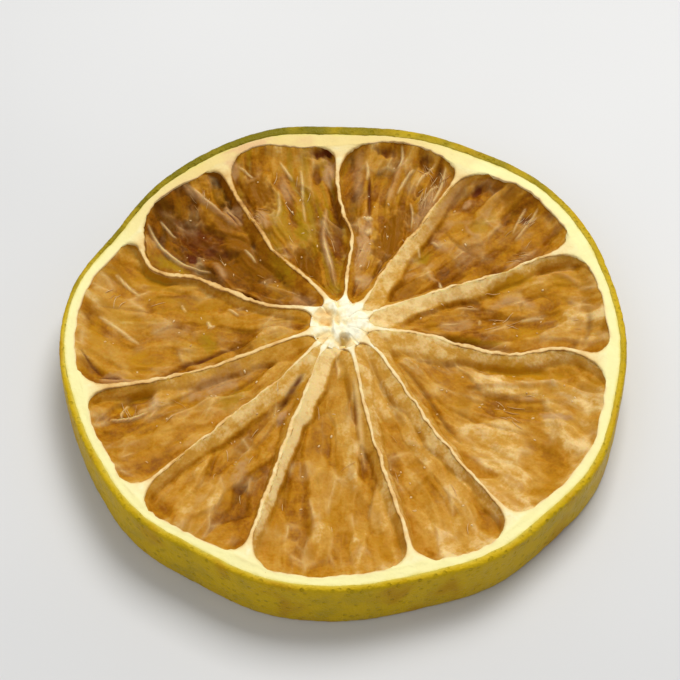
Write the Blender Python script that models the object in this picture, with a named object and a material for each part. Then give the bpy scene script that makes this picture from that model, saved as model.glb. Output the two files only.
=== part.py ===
"""A dried lemon slice, lying flat. Metres, +Z up, with the origin under the middle of the slice.

The slice is one piece of fruit, so it is one solid. A rind ring runs round the outside. Eleven membranes
tie it to a small core, like the spokes of a wheel. Between them the pulp has shrunk in drying, so it is
sunk below the cut on both faces.

The surface is a wheel-shaped net of points. Its columns follow the membranes from the core outwards. Its
rows run from the core's middle over the upper face, down the rind's side and back over the lower face.
"""

import math

import bmesh
import bpy
from mathutils import Vector, noise

MM = 0.001

# The whole slice
SLICE_RADIUS = 26.1 * MM
RIM_HEIGHT = 5.5 * MM
# How far the outline stands in from a true circle, in millimetres, at every 15 degrees from the +X axis.
# A membrane draws it in, and it swells between two of them.
OUTLINE_IN = (
    (0.10, -0.05, -0.60, -0.80, -0.30, -0.20, 0.05, -0.60, -0.35, 0.10, 0.75, -0.10)
    + (-0.10, 0.35, 0.35, -0.05, 0.30, -0.10, 0.10, 0.45, 0.00, 0.25, -0.05, 0.35)
)
# The rim's upper edge rises and falls as the rind warps: (waves in a turn, height, bearing of a crest)
RIM_WAVES = (
    (2, 0.16 * MM, math.radians(70)),
    (3, 0.10 * MM, math.radians(15)),
)

# Rind: the coloured zest outside, the white pith inside. Widths in millimetres, seen from the core: the
# zest's at every 30 degrees, and those of both together at every 10 degrees.
ZEST_WIDTHS = (0.70, 0.80, 1.05, 1.30, 1.00, 0.65, 0.50, 0.75, 0.75, 0.65, 0.80, 0.70)
RIND_WIDTHS = (
    (1.70, 1.60, 2.00, 1.90, 1.80, 2.40, 2.50, 1.75, 2.00, 2.60, 2.90, 1.85)
    + (2.10, 2.10, 1.40, 1.65, 1.60, 1.50, 1.45, 1.50, 1.60, 1.50, 1.50, 1.45)
    + (1.55, 1.65, 1.55, 1.60, 1.70, 1.60, 1.65, 1.75, 1.60, 1.55, 1.65, 1.75)
)
SHOULDER = 0.55  # share of the zest's width that is rounded off at the side
PITH_DISH = 0.12 * MM  # the pith dries a little below the zest

# Core, which sits off the slice's middle
CORE_CENTRE = Vector((-0.4 * MM, 2.3 * MM))
CORE_RADIUS = 2.75 * MM
CORE_HEIGHT = 4.9 * MM
CORE_DIMPLE = 0.35 * MM
CORE_NOTCH = 0.2 * MM  # how far its edge dips between two membranes, which makes it a star

# Each membrane: how thick it is beside the others, and its bearings from the core in degrees, at six places
# evenly spaced from its root to the rind. A dried membrane buckles, so none is straight.
MEMBRANES = (
    (1.0, (25.5, 24.6, 24.0, 21.8, 21.9, 21.0)),
    (1.1, (50.0, 55.8, 57.6, 56.9, 56.6, 56.0)),
    (1.0, (81.0, 83.6, 83.2, 88.8, 90.8, 89.5)),
    (1.0, (112.0, 119.4, 124.6, 123.8, 123.2, 121.3)),
    (1.0, (146.0, 159.6, 158.0, 157.2, 160.0, 151.5)),
    (0.9, (197.0, 198.4, 200.3, 199.9, 199.0, 197.8)),
    (0.9, (226.0, 226.9, 225.7, 225.2, 225.5, 226.0)),
    (1.2, (240.0, 247.0, 248.4, 250.0, 251.0, 252.0)),
    (1.0, (291.0, 285.2, 284.2, 284.5, 284.5, 284.0)),
    (1.0, (324.0, 313.6, 308.0, 306.3, 306.0, 305.5)),
    (1.1, (353.5, 354.0, 349.6, 348.8, 352.3, 349.8)),
)
MEMBRANE_HALF_WIDTH = 0.2 * MM
RIND_FLARE = 2.0 * MM  # extra half width of the gusset where a membrane meets the rind
RIND_FLARE_LENGTH = 0.7 * MM
CORE_FLARE = 0.45 * MM
CORE_FLARE_LENGTH = 0.4 * MM
WALL_SLOPE = 0.22 * MM  # how far a membrane's foot stands out from its crest
MOST_CREST_SHARE = 0.4  # of the gap between two membranes, where they crowd together at the core
MOST_FOOT_SHARE = 0.05

# Heights of the crests and of the sunken pulp above the table
CREST_SAG = 0.75 * MM  # how far a membrane's crest drops halfway along
UNDER_CREST = 0.45 * MM  # the gap under the middle of a membrane's lower edge
PULP_UNDER = 1.25 * MM
PULP_HANG = 0.15 * MM  # how far below a crest the pulp hangs on to its wall
# How far the middle of each pocket's pulp lies below the crests round it, in millimetres
PULP_SINK = (0.90, 0.95, 0.85, 1.20, 0.70, 0.85, 0.95, 0.85, 0.85, 0.85, 0.90)
SINK_BY_CORE = 0.6  # share of that close to the core
PULP_RELIEF = 0.5 * MM
# Over how many millimetres each pocket's pulp climbs to the membrane before it and to the one after it
PULP_LEAN = (
    (0.45, 1.0),
    (0.45, 0.35),
    (0.35, 0.4),
    (0.75, 0.35),
    (0.45, 0.4),
    (0.85, 0.4),
    (1.0, 0.5),
    (0.75, 0.65),
    (0.55, 0.75),
    (0.55, 0.55),
    (0.35, 1.15),
)
RIND_LEAN = 0.8 * MM
CORE_LEAN = 0.8 * MM
WRINKLE_ALONG = 5.0 * MM  # size of the pulp's wrinkles from core to rind
WRINKLE_ACROSS = 2.4 * MM
BULGE_SIZE = 5.0 * MM  # size of its broad swellings

# Net of points
PULP_COLUMNS = 8  # between two membranes
MIDDLE_ROWS = 9
CORE_ROWS = (0.4 * MM, 1.1 * MM)  # rows of pulp close to the core, by their distance from it
RIND_ROWS = (2.0 * MM, 1.0 * MM, 0.35 * MM)  # the same for the rind


def waves(bearing, table):
    """Sum of the slow waves in a table, at a bearing."""
    return sum(high * math.cos(count * (bearing - crest)) for count, high, crest in table)


def heading(bearing):
    return Vector((math.cos(bearing), math.sin(bearing)))


def smooth_between(before, here, there, after, share):
    """Smooth curve from here to there, which leaves and arrives in line with the values on either side."""
    leave, arrive = (there - before) / 2, (after - here) / 2
    rise = share**2 * (3 - 2 * share)
    return here + (there - here) * rise + leave * share * (1 - share) ** 2 - arrive * share**2 * (1 - share)


def read_round(values, bearing):
    """Reads a curve through values that are evenly spaced round the slice."""
    place = (bearing / math.tau * len(values)) % len(values)
    step = int(place)
    around = [values[(step + offset) % len(values)] for offset in (-1, 0, 1, 2)]
    return smooth_between(*around, place - step)


def read_along(values, share):
    """Reads a curve through values that are evenly spaced from the core to the rind."""
    last = len(values) - 1
    place = min(max(share, 0.0), 1.0) * last
    step = min(int(place), last - 1)
    around = [values[min(max(step + offset, 0), last)] for offset in (-1, 0, 1, 2)]
    return smooth_between(*around, place - step)


def outline_radius(bearing):
    """Radius of the slice's outline, seen from the slice's middle."""
    return SLICE_RADIUS - read_round(OUTLINE_IN, bearing) * MM


def zest_width(bearing):
    return read_round(ZEST_WIDTHS, bearing) * MM


def rind_width(bearing):
    """Width of the zest and the pith together."""
    return read_round(RIND_WIDTHS, bearing) * MM


def reach_to(bearing, inset):
    """Distance from the core's centre, along a bearing, to the line that lies inset from the outline."""
    ray = heading(bearing)
    along = CORE_CENTRE.dot(ray)
    reach = SLICE_RADIUS
    for _ in range(4):
        point = CORE_CENTRE + reach * ray
        radius = outline_radius(math.atan2(point.y, point.x)) - inset
        reach = -along + math.sqrt(along**2 + radius**2 - CORE_CENTRE.length_squared)
    return reach


def membrane_bearing(index, share):
    """Bearing of a membrane's middle line at a share of the way from core to rind.

    An index past either end of the table counts on round the core, one whole turn further.
    """
    turns, place = divmod(index, len(MEMBRANES))
    return math.radians(read_along(MEMBRANES[place][1], share)) + math.tau * turns


def crest_half_width(index, share, span):
    """Half width of a membrane's crest, which flares into the rind and into the core."""
    to_rind = RIND_FLARE * math.exp(-(1 - share) * span / RIND_FLARE_LENGTH)
    to_core = CORE_FLARE * math.exp(-share * span / CORE_FLARE_LENGTH)
    return MEMBRANE_HALF_WIDTH * MEMBRANES[index % len(MEMBRANES)][0] + to_rind + to_core


def pocket_radius(bearing, share):
    """Distance from the core's centre at a share of the way from the core to the rind's inner edge."""
    return CORE_RADIUS + share * (reach_to(bearing, rind_width(bearing)) - CORE_RADIUS)


def rim_top(bearing):
    return RIM_HEIGHT + waves(bearing, RIM_WAVES)


def crest_top(bearing, share):
    """Height of a membrane's upper edge."""
    ends = CORE_HEIGHT + (rim_top(bearing) - CORE_HEIGHT) * share
    return ends - CREST_SAG * math.sin(math.pi * share)


def crest_under(share):
    """Height of a membrane's lower edge, which meets the table only at the rind."""
    return UNDER_CREST * math.sqrt(max(0.0, 1 - share**3))


def pulp_hang(pocket, across, share, width, span):
    """How closely the pulp hangs on to its walls: 1 at a wall, falling to 0 away from all of them."""
    before, after = PULP_LEAN[pocket]
    loose = 1.0
    for gap, lean in (
        (across * width, before * MM),
        ((1 - across) * width, after * MM),
        (share * span, CORE_LEAN),
        ((1 - share) * span, RIND_LEAN),
    ):
        loose *= 1 - math.exp(-((gap / lean) ** 1.2))
    return 1 - loose


def pulp_height(index, point, bearing, share, hang, upper):
    """Height of one pocket's pulp, which climbs at its edges and is wrinkled from core to rind."""
    face = 3.7 if upper else 9.1
    outwards = (point - CORE_CENTRE).length
    wrinkle = Vector((outwards / WRINKLE_ALONG, bearing * SLICE_RADIUS / 2 / WRINKLE_ACROSS, face))
    swelling = Vector((point.x / BULGE_SIZE, point.y / BULGE_SIZE, face))
    relief = PULP_RELIEF * (noise.noise(wrinkle) + 0.7 * noise.noise(swelling)) * (1 - hang)
    if upper:
        sink = PULP_SINK[index] * MM * (SINK_BY_CORE + (1 - SINK_BY_CORE) * min(1.0, 2 * share))
        return crest_top(bearing, share) - PULP_HANG - sink * (1 - hang) + relief
    return PULP_UNDER + (crest_under(share) + PULP_HANG - PULP_UNDER) * hang - relief


def crest_half_angle(index, share):
    """Half of the angle that a membrane's crest takes up, kept clear of the membranes beside it."""
    before, here, after = (membrane_bearing(index + step, share) for step in (-1, 0, 1))
    span = pocket_radius(here, 1.0) - CORE_RADIUS
    wanted = crest_half_width(index, share, span) / pocket_radius(here, share)
    return min(wanted, MOST_CREST_SHARE * (after - here), MOST_CREST_SHARE * (here - before))


def column_bearings(share):
    """Each column at a share of the way out: its bearing, and where it lies in a pocket.

    The second value is None on a crest. In a pocket it is the pocket's number, the place from 0 to 1 across
    it, and the angle that the pulp takes up.
    """
    found = []
    for index in range(len(MEMBRANES)):
        here, there = membrane_bearing(index, share), membrane_bearing(index + 1, share)
        crest, next_crest = crest_half_angle(index, share), crest_half_angle(index + 1, share)
        foot = min(WALL_SLOPE / pocket_radius(here, share), MOST_FOOT_SHARE * (there - here))
        found += [(here + side * crest, None) for side in (-1, 0, 1)]
        low, high = here + crest + foot, there - next_crest - foot
        for step in range(PULP_COLUMNS):
            across = step / (PULP_COLUMNS - 1)
            found.append((low + (high - low) * across, (index, across, high - low)))
    return found


def pocket_row(share, upper):
    """One row of points across all the pockets and the membranes between them."""
    row = []
    for bearing, pocket in column_bearings(share):
        radius = pocket_radius(bearing, share)
        point = CORE_CENTRE + radius * heading(bearing)
        if pocket is None:
            height = crest_top(bearing, share) if upper else crest_under(share)
        else:
            index, across, angle = pocket
            span = pocket_radius(bearing, 1.0) - CORE_RADIUS
            hang = pulp_hang(index, across, share, angle * radius, span)
            height = pulp_height(index, point, bearing, share, hang, upper)
        row.append((point.x, point.y, height))
    return row


def rind_row(zest_share, pith_share, depth, upper):
    """One row of points round the rind, a depth below the face it belongs to.

    It lies inset from the outline by a share of the zest's width and a share of the pith's.
    """
    row = []
    for bearing, _ in column_bearings(1.0):
        zest, pith = zest_width(bearing), rind_width(bearing) - zest_width(bearing)
        inset = zest_share * zest + pith_share * pith
        point = CORE_CENTRE + reach_to(bearing, inset) * heading(bearing)
        height = rim_top(bearing) - depth if upper else depth
        row.append((point.x, point.y, height))
    return row


def core_row(share_of_radius, dimple, notch, upper):
    """One row of points round the core, sunk by its dimple, and by the notch between two membranes."""
    row = []
    for bearing, pocket in column_bearings(0.0):
        drop = dimple if pocket is None else dimple + notch * math.sin(math.pi * pocket[1])
        point = CORE_CENTRE + share_of_radius * CORE_RADIUS * heading(bearing)
        height = CORE_HEIGHT - drop if upper else crest_under(0.0) + drop
        row.append((point.x, point.y, height))
    return row


def face_rows(upper):
    """Rows of one face, from the core outwards to the edge of the zest."""
    span = SLICE_RADIUS - RIND_WIDTHS[0] * MM - CORE_RADIUS
    first, last = CORE_ROWS[-1] / span, 1 - RIND_ROWS[0] / span
    shares = [row / span for row in CORE_ROWS]
    shares += [first + (last - first) * step / (MIDDLE_ROWS + 1) for step in range(1, MIDDLE_ROWS + 1)]
    shares += [1 - row / span for row in RIND_ROWS]
    rows = [core_row(0.5, CORE_DIMPLE, 0.3 * CORE_NOTCH, upper), core_row(1.0, 0.0, CORE_NOTCH, upper)]
    rows += [pocket_row(share, upper) for share in shares]
    dish = PITH_DISH if upper else 0.0
    rows += [
        rind_row(1.0, 1.0, 0.0, upper),
        rind_row(1.0, 0.5, dish, upper),
        rind_row(1.0, 0.0, 0.0, upper),
        rind_row(SHOULDER, 0.0, 0.0, upper),
    ]
    return rows


def side_rows():
    """Rows down the zest's side: a rounded upper edge, a slight bulge and a rounded lower edge."""
    edge = 0.2 * SHOULDER
    return [
        rind_row(edge, 0.0, 0.07 * RIM_HEIGHT, upper=True),
        rind_row(0.0, 0.0, 0.3 * RIM_HEIGHT, upper=True),
        rind_row(0.0, 0.0, 0.35 * RIM_HEIGHT, upper=False),
        rind_row(edge, 0.0, 0.08 * RIM_HEIGHT, upper=False),
    ]


def build_slice():
    """The whole slice as one closed mesh."""
    rows = face_rows(upper=True) + side_rows() + list(reversed(face_rows(upper=False)))
    mesh = bmesh.new()
    net = [[mesh.verts.new(point) for point in row] for row in rows]
    columns = len(net[0])
    for inner, outer in zip(net, net[1:]):
        for column in range(columns):
            beside = (column + 1) % columns
            mesh.faces.new((inner[column], outer[column], outer[beside], inner[beside]))
    deepest = 1.2 * CORE_DIMPLE
    ends = (
        (net[0], CORE_HEIGHT - deepest, True),
        (net[-1], crest_under(0.0) + deepest, False),
    )
    for ring, height, upper in ends:
        middle = mesh.verts.new((CORE_CENTRE.x, CORE_CENTRE.y, height))
        for column in range(columns):
            beside = (column + 1) % columns
            pair = (ring[column], ring[beside]) if upper else (ring[beside], ring[column])
            mesh.faces.new((middle, *pair))
    return mesh


def centre_on_origin(mesh):
    """Moves the mesh so that its box stands over the origin, with its base at zero."""
    places = [vert.co for vert in mesh.verts]
    low = Vector([min(place[axis] for place in places) for axis in range(3)])
    high = Vector([max(place[axis] for place in places) for axis in range(3)])
    middle = (low + high) / 2
    bmesh.ops.translate(mesh, verts=mesh.verts, vec=(-middle.x, -middle.y, -low.z))


def dried_fruit_material():
    """The dried flesh and rind, which show as one amber brown on the plain solid."""
    material = bpy.data.materials.new("dried_lemon")
    material.use_nodes = True
    shader = material.node_tree.nodes["Principled BSDF"]
    shader.inputs["Base Color"].default_value = (0.58, 0.33, 0.08, 1.0)
    shader.inputs["Roughness"].default_value = 0.5
    shader.inputs["Metallic"].default_value = 0.0
    return material


def main():
    for old in list(bpy.data.objects):
        bpy.data.objects.remove(old)
    shape = build_slice()
    centre_on_origin(shape)
    bmesh.ops.recalc_face_normals(shape, faces=shape.faces)
    mesh = bpy.data.meshes.new("lemon_slice")
    shape.to_mesh(mesh)
    shape.free()
    mesh.shade_smooth()
    mesh.set_sharp_from_angle(angle=math.radians(50))
    mesh.materials.append(dried_fruit_material())
    lemon_slice = bpy.data.objects.new("lemon_slice", mesh)
    bpy.context.scene.collection.objects.link(lemon_slice)


main()
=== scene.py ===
"""Looks of a dried lemon slice that lies flat on a pale table, built round its plain solid.

The slice is made of its real tissues. The zest is the coloured skin round the outside. The white web is the
pith inside it, the eleven membranes and the core. Between the membranes lies the pulp, whose juice sacs have
collapsed into folded amber skin, with pale threads left standing on it.

All sizes in the classes are in millimetres. A mesh is turned into metres where its object is made.
"""

import logging
import math
from collections.abc import Callable
from dataclasses import dataclass, field
from enum import Enum

import bmesh
import bpy
import numpy as np
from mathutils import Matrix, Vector


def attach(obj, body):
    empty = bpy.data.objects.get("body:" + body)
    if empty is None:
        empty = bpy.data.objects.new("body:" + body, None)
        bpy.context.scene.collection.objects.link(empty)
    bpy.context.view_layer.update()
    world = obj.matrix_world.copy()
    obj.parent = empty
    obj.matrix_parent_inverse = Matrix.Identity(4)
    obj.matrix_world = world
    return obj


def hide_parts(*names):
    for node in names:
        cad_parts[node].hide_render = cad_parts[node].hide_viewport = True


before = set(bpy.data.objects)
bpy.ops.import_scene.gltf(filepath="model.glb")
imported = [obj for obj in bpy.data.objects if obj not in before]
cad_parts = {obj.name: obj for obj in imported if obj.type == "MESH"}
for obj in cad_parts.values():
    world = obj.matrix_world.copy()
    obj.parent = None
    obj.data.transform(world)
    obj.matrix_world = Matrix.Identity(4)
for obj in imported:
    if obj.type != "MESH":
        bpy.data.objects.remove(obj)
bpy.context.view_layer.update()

log = logging.getLogger("dried_lemon")

MM = 0.001
HASH_FACTORS = (374761393, 668265263, 974634777)
HASH_ROUNDS = ((13, 1274126177), (15, 2246822519))
LOW_BITS = 0xFFFFFFFF
SEAM_START = 5.9
BODY = "root"
NODE = "lemon_slice"

Array = np.ndarray
Draw = np.random.Generator
Socket = bpy.types.NodeSocket
Colour = tuple[float, float, float, float]
Fed = Socket | float | tuple[float, ...]
Feeds = dict[int | str, Fed]


class Face(Enum):
    """The two cut faces of the slice."""

    UPPER = "upper"
    UNDER = "under"


def paint(code: str) -> Colour:
    """Turns a six-digit colour as it shows on a screen into the linear colour that a shader takes.

    Args:
        code: Red, green and blue as two hexadecimal digits each.

    Returns:
        Linear red, green, blue and an alpha of 1.
    """
    parts = [int(code[place : place + 2], 16) / 255 for place in (0, 2, 4)]
    linear = [part / 12.92 if part <= 0.04045 else ((part + 0.055) / 1.055) ** 2.4 for part in parts]
    return (linear[0], linear[1], linear[2], 1.0)


def ease(value: Array, low: float, high: float) -> Array:
    """Rises smoothly from 0, where the value is low or less, to 1, where it is high or more."""
    share = np.clip((value - low) / (high - low), 0.0, 1.0)
    return share * share * (3 - 2 * share)


def scatter(column: Array, row: Array, seed: int) -> Array:
    """Gives each lattice point a fixed random number from 0 to 1.

    Args:
        column: First whole coordinates.
        row: Second whole coordinates.
        seed: Which set of numbers to draw from.

    Returns:
        One number for each lattice point.
    """
    parts = (column.astype(np.int64), row.astype(np.int64), seed)
    mixed = sum(part * factor for part, factor in zip(parts, HASH_FACTORS)) & LOW_BITS
    for shift, factor in HASH_ROUNDS:
        mixed = ((mixed ^ (mixed >> shift)) * factor) & LOW_BITS
    return (mixed ^ (mixed >> 16)) / 2.0**32


def noise(x: Array, y: Array, seed: int) -> Array:
    """Smooth gradient noise, with features about one unit across.

    Args:
        x: First coordinates.
        y: Second coordinates.
        seed: Which pattern to draw.

    Returns:
        Numbers from about -1 to 1.
    """
    x, y = np.broadcast_arrays(np.asarray(x, float), np.asarray(y, float))
    column, row = np.floor(x), np.floor(y)
    dx, dy = x - column, y - row
    blend_x, blend_y = (d * d * d * (d * (d * 6 - 15) + 10) for d in (dx, dy))
    corners = []
    for step_x, step_y in ((0, 0), (1, 0), (0, 1), (1, 1)):
        angle = math.tau * scatter(column + step_x, row + step_y, seed)
        corners.append(np.cos(angle) * (dx - step_x) + np.sin(angle) * (dy - step_y))
    near = corners[0] + blend_x * (corners[1] - corners[0])
    far = corners[2] + blend_x * (corners[3] - corners[2])
    return 1.5 * (near + blend_y * (far - near))


def layered(x: Array, y: Array, seed: int, layers: int = 3) -> Array:
    """Adds finer and finer layers of noise, each half as high as the one before.

    Args:
        x: First coordinates.
        y: Second coordinates.
        seed: Which pattern to draw.
        layers: How many layers to add. A single one is plain noise.

    Returns:
        Numbers from about -1 to 1.
    """
    total = 0.0
    for layer in range(layers):
        fine = 2**layer
        total = total + noise(x * fine + 17.3 * layer, y * fine - 9.1 * layer, seed + layer) / fine
    return total / (1.5 if layers > 1 else 1.0)


@dataclass(frozen=True)
class Ruffle:
    """Soft unevenness of one height and one size.

    Attributes:
        height: How high it is.
        size: How wide its features are, in millimetres.
        seed: Which pattern it draws.
        layers: How many layers of noise it has, each finer than the one before.
    """

    height: float
    size: float
    seed: int
    layers: int = 1

    def at(self, x: Array, y: Array, seed: int = 0) -> Array:
        """Reads it at places in millimetres, with its pattern moved on by a seed."""
        return self.height * layered(x / self.size, y / self.size, self.seed + seed, self.layers)


def round_about(pattern: Callable, bearing: Array, across: Array | float, rate: float, seed: int) -> Array:
    """Runs a pattern round the slice so that it meets itself without a seam.

    Args:
        pattern: The noise to run.
        bearing: Bearings, in radians.
        across: Second coordinates.
        rate: Features for each radian.
        seed: Which pattern to draw.

    Returns:
        Numbers from about -1 to 1.
    """
    turn = np.asarray(bearing) % math.tau
    here, there = (pattern(place * rate, across, seed) for place in (turn, turn - math.tau))
    return here + (there - here) * ease(turn, SEAM_START, math.tau)


def ripples(bearing: Array, *parts: tuple[float, float, int]) -> Array:
    """Adds up ragged ripples round the slice, each given by its height, its rate and its seed."""
    return sum(high * round_about(noise, bearing, 0.5, rate, seed) for high, rate, seed in parts)


@dataclass(frozen=True)
class Panes:
    """Sac walls that dried into flat tilted panes: what lies at each point.

    Attributes:
        seam: 1 on the line where two panes meet, falling to 0 inside them.
        level: Height, from about -1 to 1.
        shade: A random number from 0 to 1 that belongs to the pane.
    """

    seam: Array
    level: Array
    shade: Array


def pane_field(x: Array, y: Array, seed: int, seam_width: float = 0.1) -> Panes:
    """Fills the plane with panes about one unit across.

    Args:
        x: First coordinates.
        y: Second coordinates.
        seed: Which pattern to draw.
        seam_width: How wide a seam is, as a share of a pane.

    Returns:
        The panes at the given points.
    """
    column, row = np.floor(x), np.floor(y)
    nearest, second = np.full(x.shape, 9.0), np.full(x.shape, 9.0)
    weights, levels, shades = np.zeros(x.shape), np.zeros(x.shape), np.zeros(x.shape)
    for step_x in (-1, 0, 1):
        for step_y in (-1, 0, 1):
            cell = (column + step_x, row + step_y)
            off_x = x - cell[0] - 0.1 - 0.8 * scatter(*cell, seed)
            off_y = y - cell[1] - 0.1 - 0.8 * scatter(*cell, seed + 1)
            away = np.hypot(off_x, off_y)
            second = np.minimum(second, np.maximum(nearest, away))
            nearest = np.minimum(nearest, away)
            weight = np.exp(-16 * away)
            shade = scatter(*cell, seed + 2)
            tilt_x, tilt_y = scatter(*cell, seed + 3) - 0.5, scatter(*cell, seed + 4) - 0.5
            weights += weight
            levels += weight * (shade - 0.5 + 1.4 * tilt_x * off_x + 1.8 * tilt_y * off_y)
            shades += weight * shade
    seam = np.exp(-(second - nearest) / seam_width)
    return Panes(seam=seam, level=levels / weights, shade=shades / weights)


def smooth_between(before: Array, here: Array, there: Array, after: Array, share: Array) -> Array:
    """Smooth curve from here to there, in line with the values on either side.

    Args:
        before: The value before here.
        here: The value at a share of 0.
        there: The value at a share of 1.
        after: The value after there.
        share: How far along to read.

    Returns:
        The curve's value.
    """
    leave, arrive = (there - before) / 2, (after - here) / 2
    rise = share**2 * (3 - 2 * share)
    return here + (there - here) * rise + leave * share * (1 - share) ** 2 - arrive * share**2 * (1 - share)


def read_round(values: tuple[float, ...], bearing: Array) -> Array:
    """Reads a curve through values that are evenly spaced round the slice.

    Args:
        values: The values, from bearing 0 onwards.
        bearing: Where to read, in radians.

    Returns:
        The value at each bearing.
    """
    table = np.array(values)
    place = (np.asarray(bearing) / math.tau * len(table)) % len(table)
    step = np.floor(place).astype(int)
    around = [table[(step + offset) % len(table)] for offset in (-1, 0, 1, 2)]
    return smooth_between(*around, place - step)


def read_along(values: tuple[float, ...], share: Array) -> Array:
    """Reads a curve through values that are evenly spaced from one end to the other.

    Args:
        values: The values.
        share: Where to read, from 0 to 1.

    Returns:
        The value at each share.
    """
    table = np.array(values)
    last = len(table) - 1
    place = np.clip(share, 0, 1) * last
    step = np.minimum(np.floor(place).astype(int), last - 1)
    around = [table[np.clip(step + offset, 0, last)] for offset in (-1, 0, 1, 2)]
    return smooth_between(*around, place - step)


class Tint(Enum):
    """What a patch or a fold of dried tissue looks like."""

    # Pale tissue and threads, partly painted glints: small pale spots and lines that stand in for
    # highlights.
    PALE = "pale"
    # Pinkish frosted tissue, partly painted sheen on the pulp's raised spots.
    FROST = "frost"
    GLOW = "glow"
    HONEY = "honey"
    GOLD = "gold"
    # Dark tissue: partly its own red-brown colour, partly painted shade in the hollows and creases where it
    # lies.
    DARK = "dark"


@dataclass(frozen=True)
class Spots:
    """Points on the slice, seen from the core.

    Attributes:
        x: How far right of the core they lie, in millimetres.
        y: How far behind it.
        wobble: Soft noise from about -1 to 1, which makes edges ragged.
    """

    x: Array
    y: Array
    wobble: Array


@dataclass(frozen=True)
class Patch:
    """A patch of tissue with its own look. Sizes are in millimetres and bearings in degrees.

    Attributes:
        tint: Its look.
        reach: How far it lies from the core.
        bearing: Its bearing from the core.
        length: Half of its length.
        width: Half of its width.
        turn: Which way its length runs, in degrees from straight out.
        amount: How strong it is, up to 1.
        lift: How far it stands up, or sinks where it is negative.
    """

    tint: Tint
    reach: float
    bearing: float
    length: float
    width: float
    amount: float = 0.7
    lift: float = 0.0
    turn: float = 0.0

    def cover(self, spots: Spots) -> Array:
        """Gives how much of the patch covers each spot.

        Args:
            spots: Where to read it.

        Returns:
            The share of each spot, from 0 to 1.
        """
        bearing = math.radians(self.bearing)
        away_x = spots.x - self.reach * math.cos(bearing)
        away_y = spots.y - self.reach * math.sin(bearing)
        heading = bearing + math.radians(self.turn)
        along = away_x * math.cos(heading) + away_y * math.sin(heading)
        aside = away_y * math.cos(heading) - away_x * math.sin(heading)
        out = np.hypot(along / self.length, aside / self.width) + 0.55 * spots.wobble
        return 1 - ease(out, 0.3, 1.35)


@dataclass(frozen=True)
class Fold:
    """A ridge or a crease that runs through places on the pulp.

    Attributes:
        tint: Its look.
        places: Reach in millimetres and bearing in degrees of each place.
        width: Half of its width, in millimetres.
        lift: How far it stands up, or sinks where it is negative.
        amount: How strong its look is, up to 1.
    """

    tint: Tint
    places: tuple[tuple[float, float], ...]
    width: float = 0.25
    lift: float = 0.3
    amount: float = 0.7

    def cover(self, spots: Spots) -> Array:
        """Gives how much of the fold covers each spot.

        Args:
            spots: Where to read it.

        Returns:
            The share of each spot, from 0 to 1.
        """
        share = np.linspace(0, 1, 4 * len(self.places))
        reach = read_along(tuple(place[0] for place in self.places), share)
        bearing = np.radians(read_along(tuple(place[1] for place in self.places), share))
        x, y = reach * np.cos(bearing), reach * np.sin(bearing)
        cover = np.zeros(spots.x.shape)
        for step in range(len(share) - 1):
            run_x, run_y = x[step + 1] - x[step], y[step + 1] - y[step]
            off_x, off_y = spots.x - x[step], spots.y - y[step]
            along = np.clip((off_x * run_x + off_y * run_y) / (run_x**2 + run_y**2), 0, 1)
            away = np.hypot(off_x - along * run_x, off_y - along * run_y) + 0.12 * spots.wobble * self.width
            place = share[step] + along * (share[step + 1] - share[step])
            taper = np.sqrt(np.clip(4 * place * (1 - place), 0.02, 1))
            cover = np.maximum(cover, taper * np.exp(-((away / (self.width * (0.5 + 0.5 * taper))) ** 2)))
        return cover


def lay_marks(marks: tuple[Patch | Fold, ...], spots: Spots) -> tuple[dict[Tint, Array], Array]:
    """Lays patches and folds on the slice.

    Args:
        marks: What to lay.
        spots: Where to read it.

    Returns:
        How much of each look there is, and how far the surface stands up.
    """
    looks = {tint: np.zeros(spots.x.shape) for tint in Tint}
    lift = np.zeros(spots.x.shape)
    for mark in marks:
        cover = mark.cover(spots)
        looks[mark.tint] = np.maximum(looks[mark.tint], mark.amount * cover)
        lift += mark.lift * cover
    return looks, lift


def patches(tint: Tint, *rows: tuple[float, ...]) -> tuple[Patch, ...]:
    """Makes patches of one look from rows of their sizes, in the order that Patch has them."""
    return tuple(Patch(tint, *row) for row in rows)


def folds(tint: Tint, *rows: tuple) -> tuple[Fold, ...]:
    """Makes folds of one look from rows of width, lift, amount and the places."""
    return tuple(Fold(tint, tuple(places), width, lift, amount) for width, lift, amount, *places in rows)


@dataclass(frozen=True)
class Membrane:
    """One wall between two pockets of pulp.

    Attributes:
        thickness: How thick it is beside the others.
        white: How white its crest is halfway along, from 0, brown, to 1.
        bearings: Its bearings from the core in degrees, at six places evenly spaced from root to rind.
    """

    thickness: float
    white: float
    bearings: tuple[float, ...]


@dataclass(frozen=True)
class Pocket:
    """How the pulp dried between one membrane and the next.

    Attributes:
        tone: From 0, dark brown, to 1, pale tan.
        first: Over how many millimetres it climbs to the membrane before it.
        last: The same for the membrane after it.
        first_pale: How much paler it is on that first climb.
        last_pale: The same for the last climb.
        frost: How much pinkish bloom is strewn over it.
        gold: How much of it dried thin and greenish gold.
        sink: How far it lies below the tops of the membranes, in millimetres.
        strands: How far it dried into narrow strands.
    """

    tone: float
    first: float
    last: float
    first_pale: float = 0.12
    last_pale: float = 0.12
    frost: float = 0.4
    gold: float = 0.2
    sink: float = 0.85
    strands: float = 0.25


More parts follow.
